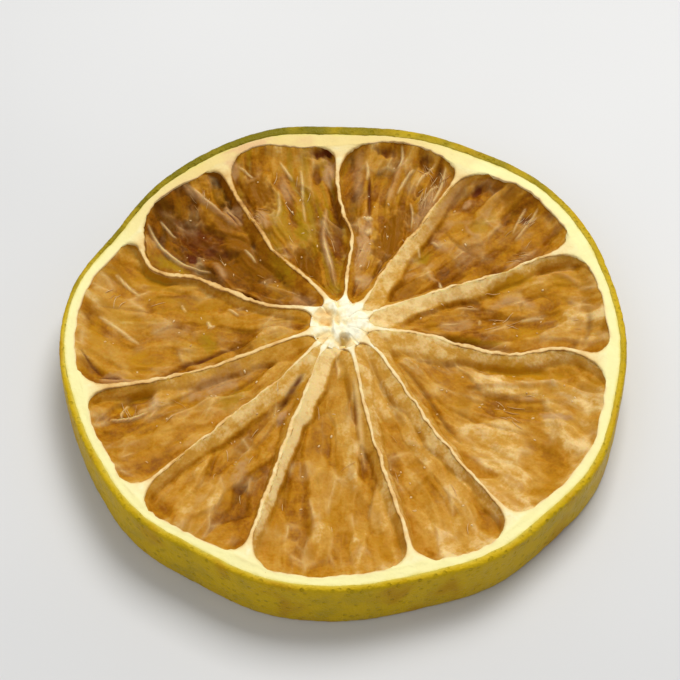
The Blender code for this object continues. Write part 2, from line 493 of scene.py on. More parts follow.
MEMBRANES = (
    Membrane(0.9, 0.50, (25.5, 24.6, 24.0, 21.8, 21.9, 21.0)),
    Membrane(1.0, 0.28, (50.0, 55.8, 57.6, 56.9, 56.6, 56.0)),
    Membrane(1.0, 0.48, (81.0, 83.6, 83.2, 88.8, 90.8, 89.5)),
    Membrane(1.05, 0.22, (112.0, 119.4, 124.6, 123.8, 123.2, 121.3)),
    Membrane(1.35, 0.36, (146.0, 159.6, 158.0, 157.2, 160.0, 151.5)),
    Membrane(1.15, 0.40, (197.0, 198.4, 200.3, 199.9, 199.0, 197.8)),
    Membrane(0.9, 0.48, (226.0, 226.9, 225.7, 225.2, 225.5, 226.0)),
    Membrane(1.2, 0.55, (240.0, 247.0, 248.4, 250.0, 251.0, 252.0)),
    Membrane(1.0, 0.50, (291.0, 285.2, 284.2, 284.5, 284.5, 284.0)),
    Membrane(1.0, 0.55, (324.0, 313.6, 308.0, 306.3, 306.0, 305.5)),
    Membrane(1.1, 0.50, (353.5, 354.0, 349.6, 348.8, 352.3, 349.8)),
)

POCKETS = (
    Pocket(tone=0.41, first=0.5, last=1.05, last_pale=0.5, frost=0.9, sink=0.9),
    Pocket(tone=0.39, first=0.45, last=0.35, frost=0.5, gold=0.5, sink=0.95, strands=1.0),
    Pocket(
        tone=0.38, first=0.35, last=0.4, first_pale=0.0, last_pale=0.1, frost=0.3,
        gold=1.0, sink=0.85, strands=1.0,
    ),
    Pocket(
        tone=0.16, first=0.8, last=0.4, first_pale=0.15, last_pale=0.1, frost=0.1,
        gold=0.3, sink=1.1, strands=0.3,
    ),
    Pocket(tone=0.53, first=0.5, last=0.4, first_pale=0.05, last_pale=0.0, frost=0.3, gold=0.5, sink=0.7),
    Pocket(tone=0.51, first=0.9, last=0.4, first_pale=0.15, frost=0.6),
    Pocket(tone=0.45, first=1.1, last=0.5, first_pale=0.42, frost=0.45, sink=0.95),
    Pocket(tone=0.6, first=0.8, last=0.7, first_pale=0.5, frost=0.5),
    Pocket(tone=0.68, first=0.6, last=0.8, frost=0.55),
    Pocket(tone=0.66, first=0.6, last=1.2, last_pale=0.2, frost=0.65),
    Pocket(tone=0.54, first=0.35, last=1.2, last_pale=0.46, frost=0.6, sink=0.9),
)

PATCHES = {
    # Dark patches sink into the pulp: partly dark tissue, partly painted shade in the hollows and gaps.
    Tint.DARK: (
        (0, 21.0, 50.5, 0.8, 0.5, 0.9, -0.2), (0, 21.8, 35.6, 0.8, 0.7, 0.7, -0.3),
        (0, 16.5, 25.2, 1.4, 0.35, 0.5, -0.2), (1, 21.4, 67, 0.9, 0.8, 0.8, -0.5),
        (1, 21.3, 78, 0.5, 1.0, 0.8, -0.3), (1, 18.2, 65, 0.9, 0.3, 0.6, -0.3),
        (2, 20.6, 94.9, 1.7, 0.5, 1.0, -0.5, 90), (2, 18.6, 96.9, 1.6, 0.45, 0.7, -0.25),
        (2, 11.6, 91.3, 4.4, 0.75, 0.65, -0.2), (3, 17.6, 144.6, 2.6, 0.4, 0.7, -0.2, -10),
        (3, 17.0, 140.0, 3.4, 1.5, 0.7, -0.45), (3, 16.5, 148.3, 0.9, 0.75, 1.0, -0.3),
        (3, 9.8, 155, 1.5, 0.45, 1.0, -0.3),
    ),
    Tint.GLOW: (
        (0, 22.4, 43, 1.6, 1.2, 0.7, -0.1), (0, 7.8, 37, 2.4, 0.9, 0.6, -0.1),
        (1, 12.4, 66.5, 4.2, 1.6, 1.0, -0.25), (2, 8.4, 112, 2.8, 1.1, 1.0, -0.15),
        (2, 18.2, 116, 3.2, 1.5, 1.0, -0.3), (3, 14.0, 137.0, 6.5, 2.6, 0.95),
        (4, 9.4, 190, 1.6, 1.0, 0.8, -0.1),
    ),
    Tint.HONEY: (
        (3, 7.4, 139.0, 2.0, 1.5, 0.5), (3, 20.0, 127, 2.0, 0.9, 0.5, 0.5),
        (4, 18.4, 161.5, 2.4, 1.4, 0.8, -0.1), (4, 13.0, 165, 2.4, 0.8, 0.5), (4, 18.6, 191, 1.8, 1.4, 0.7),
        (4, 22.6, 183, 0.9, 2.6, 0.6), (5, 21.2, 204.7, 1.1, 1.0, 0.9, -0.4),
        (5, 19.6, 201.8, 2.6, 0.5, 0.6), (9, 17.6, 345, 4.2, 0.8, 1.0, -0.25, 6),
        (10, 17.2, 18.4, 3.2, 0.75, 1.0), (10, 21.5, 14.5, 1.4, 1.0, 0.8), (10, 17.5, 0.0, 2.5, 0.9, 0.6),
    ),
    Tint.GOLD: (
        (0, 18.5, 42, 2.0, 1.0, 0.5), (0, 12.0, 47.5, 1.3, 0.7, 0.6),
        (2, 12.5, 106.5, 3.2, 0.8, 0.9, 0.0, -12), (2, 4.9, 97, 1.2, 1.0, 0.8),
        (3, 18.2, 154.5, 2.0, 0.8, 0.9), (3, 9.0, 128, 2.2, 0.8, 0.75, 0.1),
        (4, 12.3, 185.5, 1.1, 1.5, 0.7, -0.05), (5, 12.5, 217, 2.2, 0.9, 0.6, -0.1),
    ),
    # Pinkish frosted patches: partly their own colour, partly painted sheen.
    Tint.FROST: (
        (0, 19.3, 50, 0.7, 0.5, 0.9, 0.15), (0, 16.0, 38, 2.2, 1.3, 0.5),
        (0, 19.0, 25.5, 1.7, 0.35, 0.7, 0.1), (1, 10.4, 77.5, 4.2, 0.85, 0.8, 0.15, 6),
        (1, 16.8, 60.5, 2.8, 0.8, 0.7, 0.1), (1, 6.0, 68, 1.2, 1.0, 0.6),
        (2, 18.6, 93.1, 1.5, 0.8, 0.9, 0.1), (2, 21.6, 119.3, 1.3, 0.7, 0.9, 0.2),
        (2, 15.3, 119.8, 1.2, 0.9, 0.9, 0.2), (3, 4.6, 140, 1.3, 1.2, 0.7),
        (3, 17.0, 127, 1.4, 0.9, 0.8, 0.2), (4, 15.9, 179.5, 2.4, 1.7, 0.45, 0.1),
        (4, 21.4, 194.6, 1.3, 0.7, 0.7, 0.15), (5, 18.8, 206.5, 1.4, 0.5, 0.9, 0.25, 60),
        (5, 12.5, 207, 3.4, 1.2, 0.7, 0.1), (6, 11.0, 241, 1.0, 0.35, 1.0, 0.15),
        (6, 17.5, 240, 1.6, 0.7, 0.6, 0.15), (9, 21.7, 334, 1.7, 0.45, 0.9, 0.1, 15),
        (9, 18.7, 337, 0.8, 0.35, 0.7, 0.1, 15), (10, 11.0, 5.0, 2.0, 0.8, 0.5),
    ),
    # Pale patches: partly pale tissue, partly painted glints.
    Tint.PALE: (
        (1, 13.7, 79.0, 0.25, 0.5, 0.8, 0.15), (1, 12.2, 76.8, 0.4, 0.35, 0.8, 0.15),
        (4, 6.0, 176, 1.6, 1.2, 0.25), (6, 4.6, 236, 0.42, 0.42, 0.9, 0.4),
    ),
}

FOLDS = {
    # Dark folds are sunk creases and grooves: partly dark tissue, partly painted shade along them.
    Tint.DARK: (
        (0, 0.2, -0.15, 0.4, (15.6, 50), (15.2, 42), (15.8, 33)),
        (0, 0.3, -0.2, 0.35, (7.0, 29), (11.0, 31), (14.5, 30)),
        (1, 0.22, -0.25, 1.0, (18.6, 81), (16.0, 79.6), (13.8, 78)),
        (3, 0.12, -0.2, 0.9, (18.0, 128.3), (16.8, 127.9), (15.8, 128)),
        (3, 0.1, -0.2, 0.9, (17.6, 126.6), (16.6, 126.4), (15.6, 126.6)),
        (4, 0.25, -0.3, 0.8, (17.4, 198), (15.0, 195), (12.4, 193), (8.0, 187)),
        (4, 0.2, -0.1, 0.45, (23.2, 174), (19.5, 173.4), (16.4, 173)),
        (4, 0.15, -0.2, 1.0, (22.9, 193.4), (21.6, 195), (20.6, 196)),
        (4, 0.16, -0.2, 0.7, (24.0, 186), (23.2, 190), (22.1, 194.4)),
        (5, 0.25, -0.2, 0.4, (6.5, 212), (10.0, 214), (13.0, 214)),
        (6, 0.35, -0.35, 0.8, (6.0, 237), (8.6, 238), (11.0, 237.5)),
        (7, 0.16, -0.2, 0.4, (6.0, 281), (11.0, 277.5)),
        (8, 0.35, -0.2, 0.4, (4.6, 304), (9.0, 300), (12.0, 299)),
        (9, 0.24, -0.3, 0.5, (6.5, 326), (12.7, 315), (16.5, 312)),
        (9, 0.18, -0.15, 0.35, (14.0, 328), (18.4, 332.5), (21.8, 336.5)),
        (9, 0.18, -0.15, 0.35, (13.0, 320), (17.0, 323), (21.0, 327)),
        (10, 0.5, -0.4, 0.7, (6.6, 357), (9.5, 356.6), (12.0, 355.4), (14.6, 353.6), (17.0, 352.2)),
        (10, 0.18, -0.15, 0.4, (17.2, 6), (17.4, 10.5), (19.4, 12), (20.3, 9), (19.6, 6)),
        (10, 0.35, -0.25, 0.5, (22.4, 355), (23.1, 360), (23.2, 365)),
        (10, 0.35, -0.2, 0.45, (20.2, 352.5), (21.4, 354.5), (22.4, 358)),
    ),
    Tint.GLOW: (
        (3, 0.6, 0.1, 0.6, (15.0, 133), (11.0, 135), (7.0, 138)),
        (7, 0.25, 0.15, 0.6, (5.0, 279), (9.7, 275)),
    ),
    Tint.GOLD: (
        (2, 0.6, -0.1, 0.8, (20.0, 101), (14.0, 102), (9.0, 104)),
        (10, 0.35, 0.0, 0.8, (8.0, 358), (12.0, 357), (15.5, 355.5)),
    ),
    # Pinkish frosted folds: partly their own colour, partly painted sheen.
    Tint.FROST: (
        (0, 0.5, 0.15, 0.7, (14.2, 51), (13.9, 46), (14.4, 42)),
        (0, 0.5, 0.1, 0.6, (22.6, 54.5), (18.0, 54.6), (13.0, 54)),
        (0, 0.3, 0.15, 0.6, (17.4, 46), (17.0, 42), (17.6, 38)),
        (0, 0.25, 0.15, 0.6, (11.0, 41), (10.6, 36), (11.2, 33)),
        (0, 0.22, 0.12, 0.6, (19.4, 46), (19.0, 40), (19.6, 36)),
        (1, 0.6, 0.2, 0.6, (21.0, 84), (18.6, 84.5), (15.0, 83)),
        (1, 0.5, 0.2, 0.7, (19.6, 62), (17.0, 60), (13.5, 58.6)),
        (1, 0.35, 0.25, 0.7, (21.6, 73), (18.2, 73), (15.5, 73)),
        (2, 0.55, 0.25, 0.7, (19.6, 107), (17.8, 107.6), (16.0, 108)),
        (2, 0.36, 0.5, 1.0, (5.0, 95), (6.8, 96), (9.0, 97.5), (11.0, 98.3), (12.9, 96.5), (14.8, 95)),
        (3, 0.5, 0.25, 0.6, (12.6, 151), (13.3, 147.5), (14.6, 145)),
        (3, 0.4, 0.2, 0.35, (22.0, 142), (20.8, 141), (19.8, 141.5)),
        (3, 0.35, 0.4, 0.9, (22.6, 133), (21.0, 132), (18.6, 130.5), (16.4, 129.3)),
        (4, 0.28, 0.3, 0.9, (22.8, 195), (21.0, 196.4), (18.6, 197.8)),
        (9, 0.3, 0.3, 0.4, (12.5, 333), (17.1, 340), (22.1, 346)),
        (9, 0.22, 0.22, 0.4, (13.8, 332), (18.0, 336), (22.3, 339.5)),
        (9, 0.22, 0.22, 0.4, (14.6, 324), (18.8, 329), (22.6, 333)),
        (10, 0.6, 0.15, 0.7, (14.0, 10), (16.0, 13), (17.6, 11), (18.6, 8)),
        (10, 0.3, 0.2, 0.5, (23.2, 12), (22.0, 16), (21.0, 18)),
    ),
    # Pale folds and threads: partly pale tissue, partly painted glint lines.
    Tint.PALE: (
        (0, 0.13, 0.25, 0.7, (19.8, 32), (21.6, 33.5), (23.4, 35.5)),
        (0, 0.13, 0.25, 0.6, (20.0, 34), (21.5, 36.5), (22.8, 38)),
        (0, 0.12, 0.15, 0.7, (12.2, 52), (11.6, 49)), (0, 0.12, 0.15, 0.7, (13.8, 50.5), (13.7, 46.5)),
        (0, 0.12, 0.15, 0.9, (11.2, 32.5), (11.0, 29)),
        (1, 0.16, 0.3, 0.9, (21.4, 61), (19.4, 59.6), (17.4, 59)),
        (1, 0.14, 0.25, 0.8, (20.4, 69), (19.0, 70.2), (17.2, 71)),
        (1, 0.1, 0.15, 0.6, (16.8, 66), (15.8, 63.5), (14.2, 61)),
        (1, 0.15, 0.2, 0.8, (20.0, 82.5), (19.0, 81.6), (18.2, 81.6)),
        (1, 0.12, 0.2, 0.8, (22.2, 74), (21.0, 73), (20.0, 73.5)),
        (1, 0.12, 0.25, 0.8, (21.6, 64), (20.0, 66), (18.6, 66.5)),
        (1, 0.1, 0.2, 0.7, (19.8, 60.5), (18.6, 62), (17.0, 62.5)),
        (2, 0.2, 0.1, 0.6, (7.0, 96), (9.0, 97.5), (11.0, 98.3)),
        (2, 0.14, 0.2, 0.8, (19.2, 101.5), (17.6, 102), (16.0, 103)),
        (2, 0.12, 0.15, 0.5, (16.0, 103), (13.3, 104.5)),
        (2, 0.12, 0.2, 0.8, (20.6, 106.5), (19.4, 105.5), (18.4, 104.5)),
        (2, 0.14, 0.15, 0.6, (17.6, 110), (15.6, 112), (14.6, 115)),
        (2, 0.11, 0.2, 0.8, (21.4, 117.5), (20.6, 116), (20.1, 115)),
        (3, 0.14, 0.2, 0.5, (22.4, 132), (20.0, 130.8), (18.0, 130)),
        (3, 0.17, 0.4, 0.9, (21.8, 147.4), (20.4, 149.5), (18.2, 151.6), (16.2, 152.2), (14.4, 149.5)),
        (3, 0.13, 0.2, 0.7, (21.4, 143.8), (20.2, 144.6), (19.2, 145)),
        (3, 0.13, 0.15, 0.7, (13.4, 133), (12.4, 133), (11.6, 134)),
        (4, 0.13, 0.2, 0.9, (22.0, 163.8), (20.6, 166), (19.0, 168.6)),
        (4, 0.17, 0.2, 0.8, (22.5, 176.4), (20.6, 180), (18.6, 184.8)),
        (4, 0.13, 0.2, 1.0, (12.4, 174.3), (12.0, 177.6)),
        (4, 0.09, 0.15, 1.0, (12.3, 177.5), (11.7, 176.2)), (4, 0.1, 0.15, 0.7, (15.2, 168), (14.6, 171)),
        (4, 0.12, 0.2, 0.8, (10.8, 165.5), (9.6, 169.5)),
        (5, 0.14, 0.5, 0.9, (23.0, 206), (21.2, 207.8), (19.6, 207.8)),
        (5, 0.09, 0.4, 0.9, (20.8, 202.6), (21.6, 204.5), (22.0, 206.4)),
        (7, 0.25, 0.4, 0.5, (5.5, 283), (8.5, 281), (11.2, 279.5), (15.0, 278.5)),
        (10, 0.17, 0.2, 0.6, (16.9, 4.6), (18.0, 4.8), (19.2, 4.7)),
        (10, 0.1, 0.15, 0.6, (13.2, 7.2), (13.1, 4.8)),
    ),
}

RIND_MARKS = (
    *patches(Tint.FROST,
        (23.0, 113.0, 1.0, 2.6, 1.0), (21.9, 119.0, 1.5, 0.8, 0.8), (22.0, 99.0, 0.8, 1.2, 0.5),
        (21.9, 132.5, 0.9, 0.5, 0.5), (23.0, 56.0, 0.8, 0.7, 0.4),
    ),
)


def marks_in(pocket: int) -> tuple[Patch | Fold, ...]:
    """Gathers the patches and folds that lie on a pocket's upper face.

    Args:
        pocket: Which pocket. It comes first in each row of the tables.

    Returns:
        The pocket's marks.
    """
    laid = [patches(tint, *(row[1:] for row in rows if row[0] == pocket)) for tint, rows in PATCHES.items()]
    laid += [folds(tint, *(row[1:] for row in rows if row[0] == pocket)) for tint, rows in FOLDS.items()]
    return sum(laid, ())


def waves(bearing: Array, table: tuple[tuple[int, float, float], ...]) -> Array:
    """Adds up slow waves round the slice, each given by its crests in a turn, its height and one crest."""
    return sum(high * np.cos(count * (bearing - math.radians(crest))) for count, high, crest in table)


@dataclass(frozen=True)
class SliceForm:
    """The forms and sizes of the slice, in millimetres, that all its tissues share."""

    radius: float = 26.1
    rim_height: float = 5.5
    outline_in: tuple[float, ...] = (
        (0.10, -0.05, -0.60, -0.80, -0.30, -0.20, 0.05, -0.60, -0.35, 0.10, 0.75, -0.10)
        + (-0.10, 0.35, 0.35, -0.05, 0.30, -0.10, 0.10, 0.45, 0.00, 0.25, -0.05, 0.35)
    )
    rim_waves: tuple[tuple[int, float, float], ...] = ((2, 0.16, 70), (3, 0.10, 15))
    zest_widths: tuple[float, ...] = (0.70, 0.80, 1.05, 1.30, 1.00, 0.65, 0.50, 0.75, 0.75, 0.65, 0.80, 0.70)
    rind_widths: tuple[float, ...] = (
        (1.70, 1.60, 2.00, 1.90, 1.80, 2.40, 2.50, 1.75, 2.00, 2.60, 2.90, 1.85)
        + (2.10, 2.10, 1.40, 1.65, 1.60, 1.50, 1.45, 1.50, 1.60, 1.50, 1.50, 1.45)
        + (1.55, 1.65, 1.55, 1.60, 1.70, 1.60, 1.65, 1.75, 1.60, 1.55, 1.65, 1.75)
    )
    core_x: float = -0.4
    core_y: float = 2.3
    core_radius: float = 2.75
    core_height: float = 4.9
    half_width: float = 0.17
    rind_flare: float = 2.0
    rind_flare_length: float = 0.7
    core_flare: float = 0.45
    core_flare_length: float = 0.4
    crest_sag: float = 0.75
    under_crest: float = 0.45
    rind_rags: tuple[tuple[float, float, int], ...] = ((0.15, 14, 41), (0.10, 40, 42), (0.07, 95, 43))
    wander: tuple[tuple[float, float, int], ...] = ((0.15, 1.6, 51), (0.07, 0.5, 52))
    shift: tuple[float, float] = field(init=False)

    def __post_init__(self) -> None:
        """Works out what centres the slice on the origin."""
        turn = np.linspace(0, math.tau, 3600, endpoint=False)
        x, y = self.outline(turn) * np.cos(turn), self.outline(turn) * np.sin(turn)
        object.__setattr__(self, "shift", (-(x.min() + x.max()) / 2, -(y.min() + y.max()) / 2))

    def outline(self, bearing: Array) -> Array:
        """Gives the outline's radius at each bearing from the slice's middle."""
        return self.radius - read_round(self.outline_in, bearing)

    def zest_width(self, bearing: Array) -> Array:
        """Gives the zest's width at each bearing from the core."""
        return read_round(self.zest_widths, bearing)

    def reach(self, bearing: Array, inset: Array | float) -> Array:
        """Distance from the core's middle to a line that lies inset from the outline.

        Args:
            bearing: Bearings from the core, in radians.
            inset: How far inside the outline the line lies.

        Returns:
            The distance at each bearing.
        """
        cos, sin = np.cos(bearing), np.sin(bearing)
        along = self.core_x * cos + self.core_y * sin
        off = self.core_x**2 + self.core_y**2
        reach = np.full(np.shape(bearing), self.radius)
        for _ in range(4):
            middle_bearing = np.arctan2(self.core_y + reach * sin, self.core_x + reach * cos)
            radius = self.outline(middle_bearing) - inset
            reach = -along + np.sqrt(along**2 + radius**2 - off)
        return reach

    def inner_reach(self, bearing: Array) -> Array:
        """Distance from the core's middle to the rind's inner edge, which is a little ragged."""
        width = read_round(self.rind_widths, bearing) + ripples(bearing, *self.rind_rags)
        return self.reach(bearing, width)

    def path(self, index: int, share: Array) -> Array:
        """Bearing of a membrane's middle line.

        Args:
            index: Which membrane. Past either end of the table it counts on round the core.
            share: How far out, from 0 at the core to 1 at the rind.

        Returns:
            The bearing at each share, in radians.
        """
        turns, place = divmod(index, len(MEMBRANES))
        calm = np.sin(math.pi * np.clip(share, 0, 1))
        distance = self.core_radius + share * (self.radius - self.core_radius)
        fine = sum(high * noise(distance / size, place + 0.5, seed) for high, size, seed in self.wander)
        bearing = np.radians(read_along(MEMBRANES[place].bearings, share))
        return bearing + calm * fine / distance + math.tau * turns

    def half_angle(self, index: int, share: Array) -> Array:
        """Half of the angle that a membrane's crest takes up, kept clear of the membranes beside it.

        Args:
            index: Which membrane.
            share: How far out, from 0 at the core to 1 at the rind.

        Returns:
            The half angle at each share, in radians.
        """
        before, here, after = (self.path(index + step, share) for step in (-1, 0, 1))
        span = self.inner_reach(here) - self.core_radius
        place = index % len(MEMBRANES)
        knots = 1 + 0.4 * noise(share * 15, place + 0.5, 53)
        width = self.half_width * MEMBRANES[place].thickness * knots
        width = width + self.rind_flare * np.exp(-np.clip(1 - share, 0, 1) * span / self.rind_flare_length)
        width = width + self.core_flare * np.exp(-np.clip(share, 0, 1) * span / self.core_flare_length)
        wanted = width / (self.core_radius + share * span)
        return np.minimum(wanted, 0.42 * np.minimum(after - here, here - before))

    def rim_top(self, bearing: Array) -> Array:
        """Height of the rim's upper edge at each bearing."""
        return self.rim_height + waves(bearing, self.rim_waves)

    def crest_top(self, bearing: Array, share: Array) -> Array:
        """Height of a membrane's upper edge.

        Args:
            bearing: Its bearing from the core, in radians.
            share: How far out, from 0 at the core to 1 at the rind.

        Returns:
            The height above the table.
        """
        share = np.clip(share, 0, 1)
        ends = self.core_height + (self.rim_top(bearing) - self.core_height) * share
        return ends - self.crest_sag * np.sin(math.pi * share)

    def crest_under(self, share: Array) -> Array:
        """Height of a membrane's lower edge, which comes down to the table only at the rind."""
        return self.under_crest * np.sqrt(np.clip(1 - share**3, 0, 1))

    def place(self, bearing: Array, reach: Array, height: Array | float) -> Array:
        """Points at a bearing and a distance from the core, centred as the solid is.

        Args:
            bearing: Bearings from the core, in radians.
            reach: Distances from the core's middle.
            height: Heights above the table.

        Returns:
            The points, with their three coordinates on the last axis.
        """
        x = self.core_x + self.shift[0] + reach * np.cos(bearing)
        y = self.core_y + self.shift[1] + reach * np.sin(bearing)
        return np.stack(np.broadcast_arrays(x, y, height), axis=-1)


class Shell:
    """Gathers points, faces and masks in millimetres, and makes one smooth object of them."""

    def __init__(self) -> None:
        """Starts with nothing."""
        self._points: list[Array] = []
        self._masks: list[dict[str, Array]] = []
        self._faces: list[Array] = []
        self._count = 0

    def points(self, places: Array, **masks: Array | float) -> Array:
        """Adds points.

        Args:
            places: The points, with their three coordinates on the last axis.
            **masks: Numbers to store on each point, by name.

        Returns:
            The index of each new point, in the shape that the points came in.
        """
        flat = places.reshape(-1, 3)
        shape = places.shape[:-1]
        self._points.append(flat)
        self._masks.append({key: np.broadcast_to(mask, shape).reshape(-1) for key, mask in masks.items()})
        indices = np.arange(self._count, self._count + len(flat)).reshape(shape)
        self._count += len(flat)
        return indices

    def skin(self, grid: Array, wrap: bool = False, keep: Array | None = None) -> None:
        """Covers a grid of points with four-sided faces.

        Args:
            grid: Indices in rows and columns.
            wrap: Whether the last column joins the first.
            keep: Which cells to cover, if not all.
        """
        near = np.roll(grid, -1, axis=1) if wrap else grid[:, 1:]
        here = grid if wrap else grid[:, :-1]
        quads = np.stack([here[:-1], here[1:], near[1:], near[:-1]], axis=-1)
        quads = quads[keep] if keep is not None else quads.reshape(-1, 4)
        self._faces.append(quads.reshape(-1, 4))

    def fan(self, ring: Array, tip: int) -> None:
        """Closes a ring of points onto the point in its middle."""
        self._faces.append(np.stack([np.full(len(ring), tip), ring, np.roll(ring, -1)], axis=-1))

    def tube(self, path: Array, radius: Array, sides: int = 6, **masks: float) -> None:
        """Adds a thin closed tube along a path.

        Args:
            path: The points that it follows, one in each row.
            radius: Its radius at each of them.
            sides: How many sides it has.
            **masks: Numbers to store on its points, by name.
        """
        along = np.gradient(path, axis=0)
        along /= np.linalg.norm(along, axis=1, keepdims=True) + 1e-9
        side = np.cross(along, (0.0, 0.0, 1.0))
        side /= np.linalg.norm(side, axis=1, keepdims=True) + 1e-9
        up = np.cross(side, along)
        turn = np.linspace(0, math.tau, sides, endpoint=False)[None, :, None]
        ring = side[:, None] * np.cos(turn) + up[:, None] * np.sin(turn)
        grid = self.points(path[:, None] + ring * radius[:, None, None], **masks)
        self.skin(grid, wrap=True)
        for end, centre in ((grid[0], path[0]), (grid[-1], path[-1])):
            tip = self.points(centre[None], **masks)
            self.fan(end, int(tip[0]))

    def build(self, name: str, material: bpy.types.Material) -> None:
        """Makes the object, smooth and with its faces pointing out, and says what it belongs to.

        Args:
            name: The object's name.
            material: Its finish.
        """
        mesh = bpy.data.meshes.new(name)
        corners = [face for block in self._faces for face in block.tolist()]
        mesh.from_pydata((np.concatenate(self._points) * MM).tolist(), [], corners)
        for key in sorted({key for masks in self._masks for key in masks}):
            values = [
                masks[key] if key in masks else np.zeros(len(block))
                for masks, block in zip(self._masks, self._points)
            ]
            attribute = mesh.attributes.new(key, "FLOAT", "POINT")
            attribute.data.foreach_set("value", np.concatenate(values).astype(np.float32))
        work = bmesh.new()
        work.from_mesh(mesh)
        bmesh.ops.recalc_face_normals(work, faces=work.faces)
        work.to_mesh(mesh)
        work.free()
        mesh.shade_smooth()
        mesh.materials.append(material)
        piece = bpy.data.objects.new(name, mesh)
        bpy.context.scene.collection.objects.link(piece)
        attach(piece, BODY)
        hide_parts(NODE)
        log.info("%s: %d points, %d faces", name, self._count, len(mesh.polygons))


class Graph:
    """Adds nodes to a shader tree and joins them, so that a finish reads from its inputs to its result."""

    def __init__(self, tree: bpy.types.NodeTree) -> None:
        """Takes the tree to work in."""
        self.tree = tree

    def feed(self, node: bpy.types.Node, inputs: Feeds) -> None:
        """Joins a node's inputs to other sockets, or sets their values.

        Args:
            node: The node.
            inputs: For each input, by name or number, an output or the value to set.
        """
        for key, source in inputs.items():
            if isinstance(source, bpy.types.NodeSocket):
                self.tree.links.new(source, node.inputs[key])
            else:
                node.inputs[key].default_value = source

    def node(self, kind: str, inputs: Feeds | None = None, **settings: object) -> bpy.types.Node:
        """Adds a node.

        Args:
            kind: Its type in Blender.
            inputs: What feeds its inputs.
            **settings: Properties to set on it.

        Returns:
            The node.
        """
        made = self.tree.nodes.new(kind)
        for name, value in settings.items():
            setattr(made, name, value)
        self.feed(made, inputs or {})
        return made

    def times(self, first: Fed, second: Fed) -> Socket:
        """Multiplies two numbers."""
        return self.node("ShaderNodeMath", {0: first, 1: second}, operation="MULTIPLY").outputs[0]

    def total(self, *terms: tuple[Socket, float], base: float = 0.0) -> Socket:
        """Adds up terms, each times its own weight.

        Args:
            *terms: Pairs of a number and its weight.
            base: What to start from.

        Returns:
            The sum.
        """
        result: Fed = base
        for value, weight in terms:
            added = self.node("ShaderNodeMath", {0: value, 1: weight, 2: result}, operation="MULTIPLY_ADD")
            result = added.outputs[0]
        return result

    def span(self, value: Socket, low: float = 0.0, high: float = 1.0) -> Socket:
        """Stretches low to high over 0 to 1, smoothly, and clamps what lies outside."""
        inputs = {"Value": value, "From Min": low, "From Max": high}
        return self.node("ShaderNodeMapRange", inputs, interpolation_type="SMOOTHSTEP").outputs[0]

    def broken(self, name: str, grain: Socket, weight: float, base: float) -> Socket:
        """Reads a stored mask, broken up by a grain of that weight, and keeps it between 0 and 1."""
        return self.span(self.times(self.mask(name), self.total((grain, weight), base=base)))

    def blend(self, share: Socket, low: Fed, high: Fed) -> Socket:
        """Mixes two colours, with that share of the second."""
        return self.node("ShaderNodeMix", {0: share, 6: low, 7: high}, data_type="RGBA").outputs[2]

    def ramp(self, value: Socket, places: tuple[float, ...], colours: tuple[Colour, ...]) -> Socket:
        """Reads a colour from a row of colour stops.

        Args:
            value: Where to read.
            places: Where the stops lie, from 0 to 1.
            colours: Their colours.

        Returns:
            The colour.
        """
        made = self.node("ShaderNodeValToRGB", {0: value})
        stops = made.color_ramp.elements
        while len(stops) < len(places):
            stops.new(0.5)
        for stop, place, colour in zip(stops, places, colours):
            stop.position = place
            stop.color = colour
        return made.outputs[0]

    def mask(self, name: str) -> Socket:
        """Reads a mask that is stored on the mesh, by its name."""
        return self.node("ShaderNodeAttribute", attribute_name=name).outputs["Fac"]

    def where(self) -> Socket:
        """Gives the place on the object, in metres."""
        return self.node("ShaderNodeTexCoord").outputs["Object"]

    def noise(self, place: Socket, scale: Fed, detail: float = 3.0, warp: float = 0.0) -> Socket:
        """Reads soft noise from about 0 to 1, with scale features in each unit of place."""
        inputs = {"Vector": place, "Scale": scale, "Detail": detail, "Distortion": warp}
        return self.node("ShaderNodeTexNoise", inputs).outputs[0]

    def bump(self, height: Socket, distance: float, strength: float) -> Socket:
        """Turns a height from 0 to 1 into a normal. The distance is what 1 stands for, in metres."""
        inputs = {"Strength": strength, "Distance": distance, "Height": height}
        return self.node("ShaderNodeBump", inputs).outputs[0]

    def shade(self, inputs: Feeds) -> None:
        """Feeds the material's shader."""
        self.feed(self.tree.nodes["Principled BSDF"], inputs)


def dried_grain_group() -> bpy.types.NodeTree:
    """The fine grain of dried tissue: stretched streaks, blotches and a fine unevenness.

    Returns:
        A group with inputs Along, Across and Blotches, each in features for each metre, and outputs Streak,
        Blotch and Fine, each from 0 to 1.
    """
    tree = bpy.data.node_groups.new("dried_grain", "ShaderNodeTree")
    for name in ("Along", "Across", "Blotches"):
        tree.interface.new_socket(name, in_out="INPUT", socket_type="NodeSocketFloat")
    for name in ("Streak", "Blotch", "Fine"):
        tree.interface.new_socket(name, in_out="OUTPUT", socket_type="NodeSocketFloat")
    graph = Graph(tree)
    given, where = graph.node("NodeGroupInput").outputs, graph.where()
    along = graph.times(graph.mask("outwards"), given["Along"])
    across = graph.times(graph.mask("sideways"), given["Across"])
    rise = graph.times(graph.node("ShaderNodeSeparateXYZ", {0: where}).outputs[2], 300.0)
    lane = graph.node("ShaderNodeCombineXYZ", {0: along, 1: across, 2: rise}).outputs[0]
    results = {
        "Streak": graph.span(graph.noise(lane, 1.0, 3.0, 0.2), 0.32, 0.68),
        "Blotch": graph.span(graph.noise(where, given["Blotches"], 4.0), 0.34, 0.66),
        "Fine": graph.span(graph.noise(where, 4200.0, 2.0), 0.2, 0.8),
    }
    graph.node("NodeGroupOutput", results)
    return tree


@dataclass
class Grains:
    """The node groups that several finishes share."""

    dried: bpy.types.NodeTree = field(default_factory=dried_grain_group)

    def put(self, graph: Graph, along: float, across: float, blotches: float) -> tuple[Socket, ...]:
        """Places the dried grain in a material, and gives its streaks, blotches and fine unevenness."""
        inputs = {"Along": along, "Across": across, "Blotches": blotches}
        return tuple(graph.node("ShaderNodeGroup", node_tree=self.dried, inputs=inputs).outputs)


